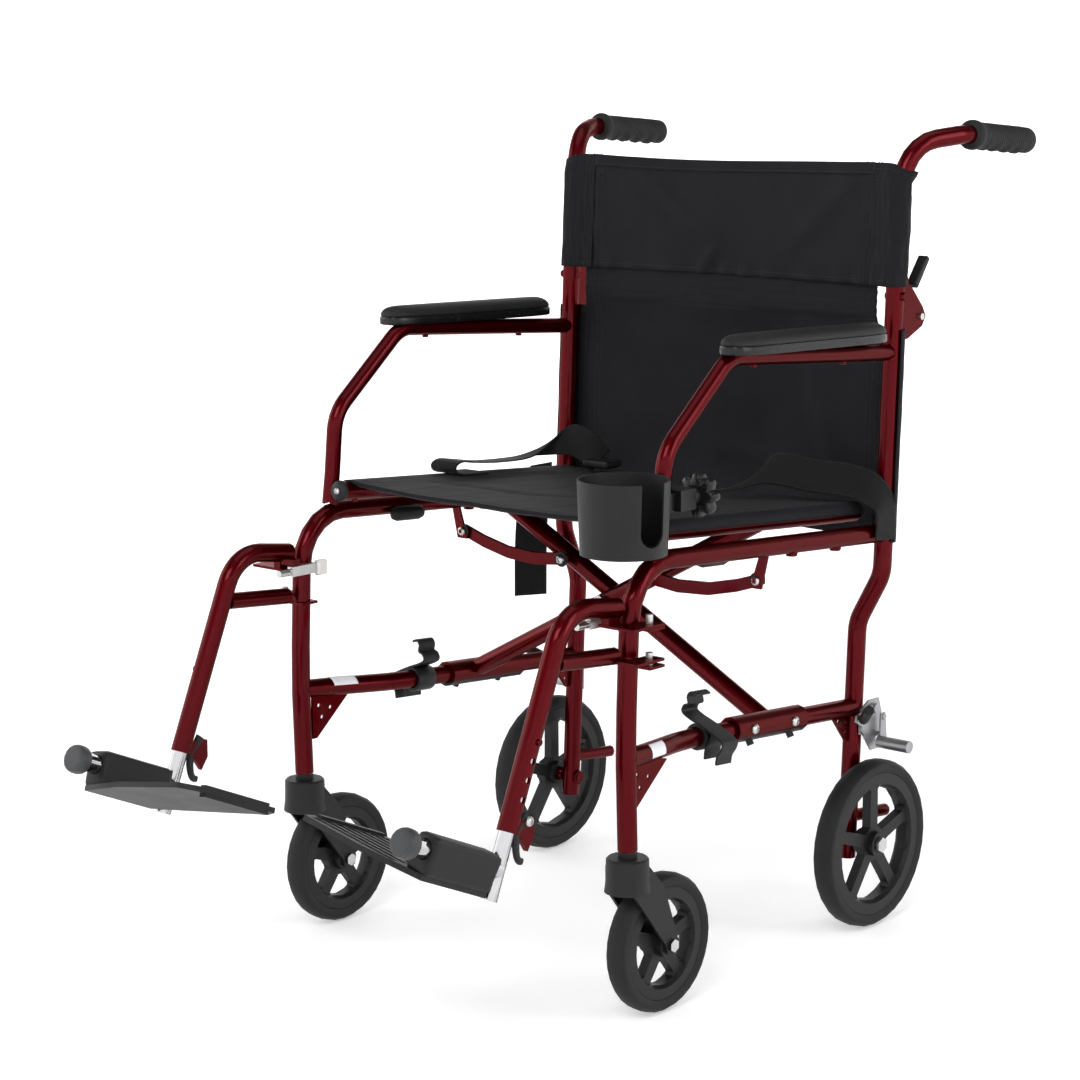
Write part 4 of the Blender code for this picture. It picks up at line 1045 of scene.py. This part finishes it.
def cradle(side, word):
    """Black saddle beneath the seat rail, and two bosses under the side rail."""
    points = [at(side * 0.2330, y, side_rail_z(y) - 0.0085)
              for y in (-0.313, -0.311, -0.304, -0.268, -0.261, -0.259)]
    tube_skin("seat_cradle_" + word, points, [0.0030, 0.0070, 0.0092, 0.0092, 0.0070, 0.0030],
              "black_plastic", word + "_frame", 20, 0.72)
    for number, y in enumerate((-0.160, -0.075)):
        place = at(side * FRAME_X, y, side_rail_z(y) - 0.0095)
        profile = [(0.0, -0.002), (0.0075, -0.002), (0.0062, 0.0042), (0.0, 0.0048)]
        place_piece("rail_boss_%s_%d" % (word, number),
                    turned_mesh("boss", profile, place, Vector((0, 0, -1)), 32),
                    "red_paint", word + "_frame", smooth=False)


def cam_hook(side, word):
    """Curved black catch that hangs from a bolt behind the foot of the hanger."""
    points = spline_points([at(side * FRAME_X, y, z) for y, z in
                            ((-0.6140, 0.2680), (-0.6190, 0.2620), (-0.6285, 0.2520),
                             (-0.6310, 0.2400), (-0.6300, 0.2290), (-0.6270, 0.2225),
                             (-0.6215, 0.2200))], 6)
    radii = [0.0066 - 0.0030 * k / (len(points) - 1) for k in range(len(points))]
    tube_skin("hanger_catch_" + word, points, radii, "black_plastic", word + "_hanger", 16, 0.55)
    round_head("hanger_catch_screw_" + word, at(side * (FRAME_X + 0.0036), -0.6150, 0.2620),
               Vector((side, 0, 0)), word + "_hanger", 0.0055)


CLIP_Y = -0.2825
CLIP_TILT = math.radians(22)


def rail_clip(side, word):
    """Spring clip on the lower rail: collar, upturned hook and two parallel jaws."""
    centre = at(side * 0.2195, CLIP_Y, lower_rail_z(CLIP_Y))
    along = Vector((0, 1, -0.072)).normalized()
    out = Vector((side * math.cos(CLIP_TILT), 0, -math.sin(CLIP_TILT)))
    up = Vector((side * math.sin(CLIP_TILT), 0, math.cos(CLIP_TILT)))
    ring = [(FRAME_R + 0.0004, -0.0150), (FRAME_R + 0.0034, -0.0150), (FRAME_R + 0.0042, -0.0135),
            (FRAME_R + 0.0042, 0.0135), (FRAME_R + 0.0034, 0.0150), (FRAME_R + 0.0004, 0.0150)]
    collar = place_piece("rail_clip_" + word, turned_mesh("collar", ring, centre, along, 64),
                         "black_plastic", word + "_frame", smooth=False)
    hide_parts(word + "_rail_clip")
    leaves = {"hook": ((-0.019, 0.0430), (-0.0265, 0.0425), (-0.0285, 0.0360), (-0.0245, 0.0290),
                       (-0.0290, 0.0240), (-0.0285, 0.0165), (-0.0180, 0.0145), (0.0, 0.0148),
                       (0.0200, 0.0140), (0.0340, 0.0120), (0.0360, 0.0040), (0.0340, -0.0060),
                       (0.0360, -0.0160)),
              "jaw": ((0.0175, 0.0135), (0.0185, 0.0040), (0.0165, -0.0060), (0.0195, -0.0180))}
    for kind, stations in leaves.items():
        path = spline_points([centre + out * x + up * z for x, z in stations], 5)

        def surface(u, v):
            place = u * (len(path) - 1)
            k = min(int(place), len(path) - 2)
            return path[k].lerp(path[k + 1], place - k) + along * (v - 0.5) * 0.027

        piece = sheet_piece("rail_clip_%s_%s" % (kind, word), 56, 4, surface, 0.0027,
                            "black_plastic", word + "_frame")
        round_edges(piece, 0.0006)


def blank_label(side, word):
    """Pale sticker without print on the lower rail near the front leg."""
    start, end = Vector((0.2430, -0.417)), Vector((0.2250, -0.340))

    def surface(u, v):
        place = start.lerp(end, 0.02 + 0.42 * v)
        angle = math.radians((-20 if side > 0 else 80) + 85 * u)
        reach = FRAME_R + 0.0004
        z = lower_rail_z(place.y) + reach * math.sin(angle)
        return at(side * (place.x + reach * math.cos(angle)), place.y, z)

    sheet_piece("rail_label_" + word, 12, 12, surface, 0.0002, "blank_label", word + "_frame")


def sleeve_screws(side, word):
    """Screws through the cross tube's sleeve, on its outer side."""
    body = "cross_a" if side > 0 else "cross_b"
    for number, y in enumerate((-0.208, -0.131)):
        place = at(side * 0.2350, y, lower_rail_z(y) + 0.001)
        round_head("sleeve_screw_%s_%d" % (word, number), place, Vector((side, 0, 0)), body, 0.0056)


def link_screws():
    """Screws and rubber washers at the ends of the two stabiliser links."""
    for side, word, y in ((1, "left", -0.2087), (-1, "right", -0.1845)):
        for number, (x, z) in enumerate(((0.236, 0.450), (0.075, 0.4335))):
            place = at(side * x, y, z)
            washer = [(0.0, -0.0012), (0.0092, -0.0012), (0.0096, 0.0), (0.0092, 0.0014),
                      (0.0, 0.0014)]
            place_piece("link_washer_%s_%d" % (word, number),
                        turned_mesh("washer", washer, place, Vector((0, -1, 0)), 32),
                        "tyre_rubber", word + "_link", smooth=False)
            round_head("link_screw_%s_%d" % (word, number), place + Vector((0, -0.0014, 0)),
                       Vector((0, -1, 0)), word + "_link", 0.0056)


def make_small_parts():
    for side, word, rail_body in ((1, "left", "cross_b"), (-1, "right", "cross_a")):
        arm_pad(side, word)
        hand_grip(side, word)
        rail_ends(side, word, rail_body)
        cradle(side, word)
        cam_hook(side, word)
        blank_label(side, word)
        rail_clip(side, word)
        sleeve_screws(side, word)
    link_screws()
    star_knob()


SOFT = ["seat_sling", "lower_back_sling", "upper_back_sling", "left_belt", "right_belt"]
REBUILT = ["left_arm_pad", "right_arm_pad", "left_grip", "right_grip", "cup_knob",
           "left_rail_clip", "right_rail_clip"]

dress_nodes()
polish_nodes(SOFT + REBUILT)
make_small_parts()
make_back()
make_seat()
make_belts()
place_camera()
light_studio()
lay_floor()
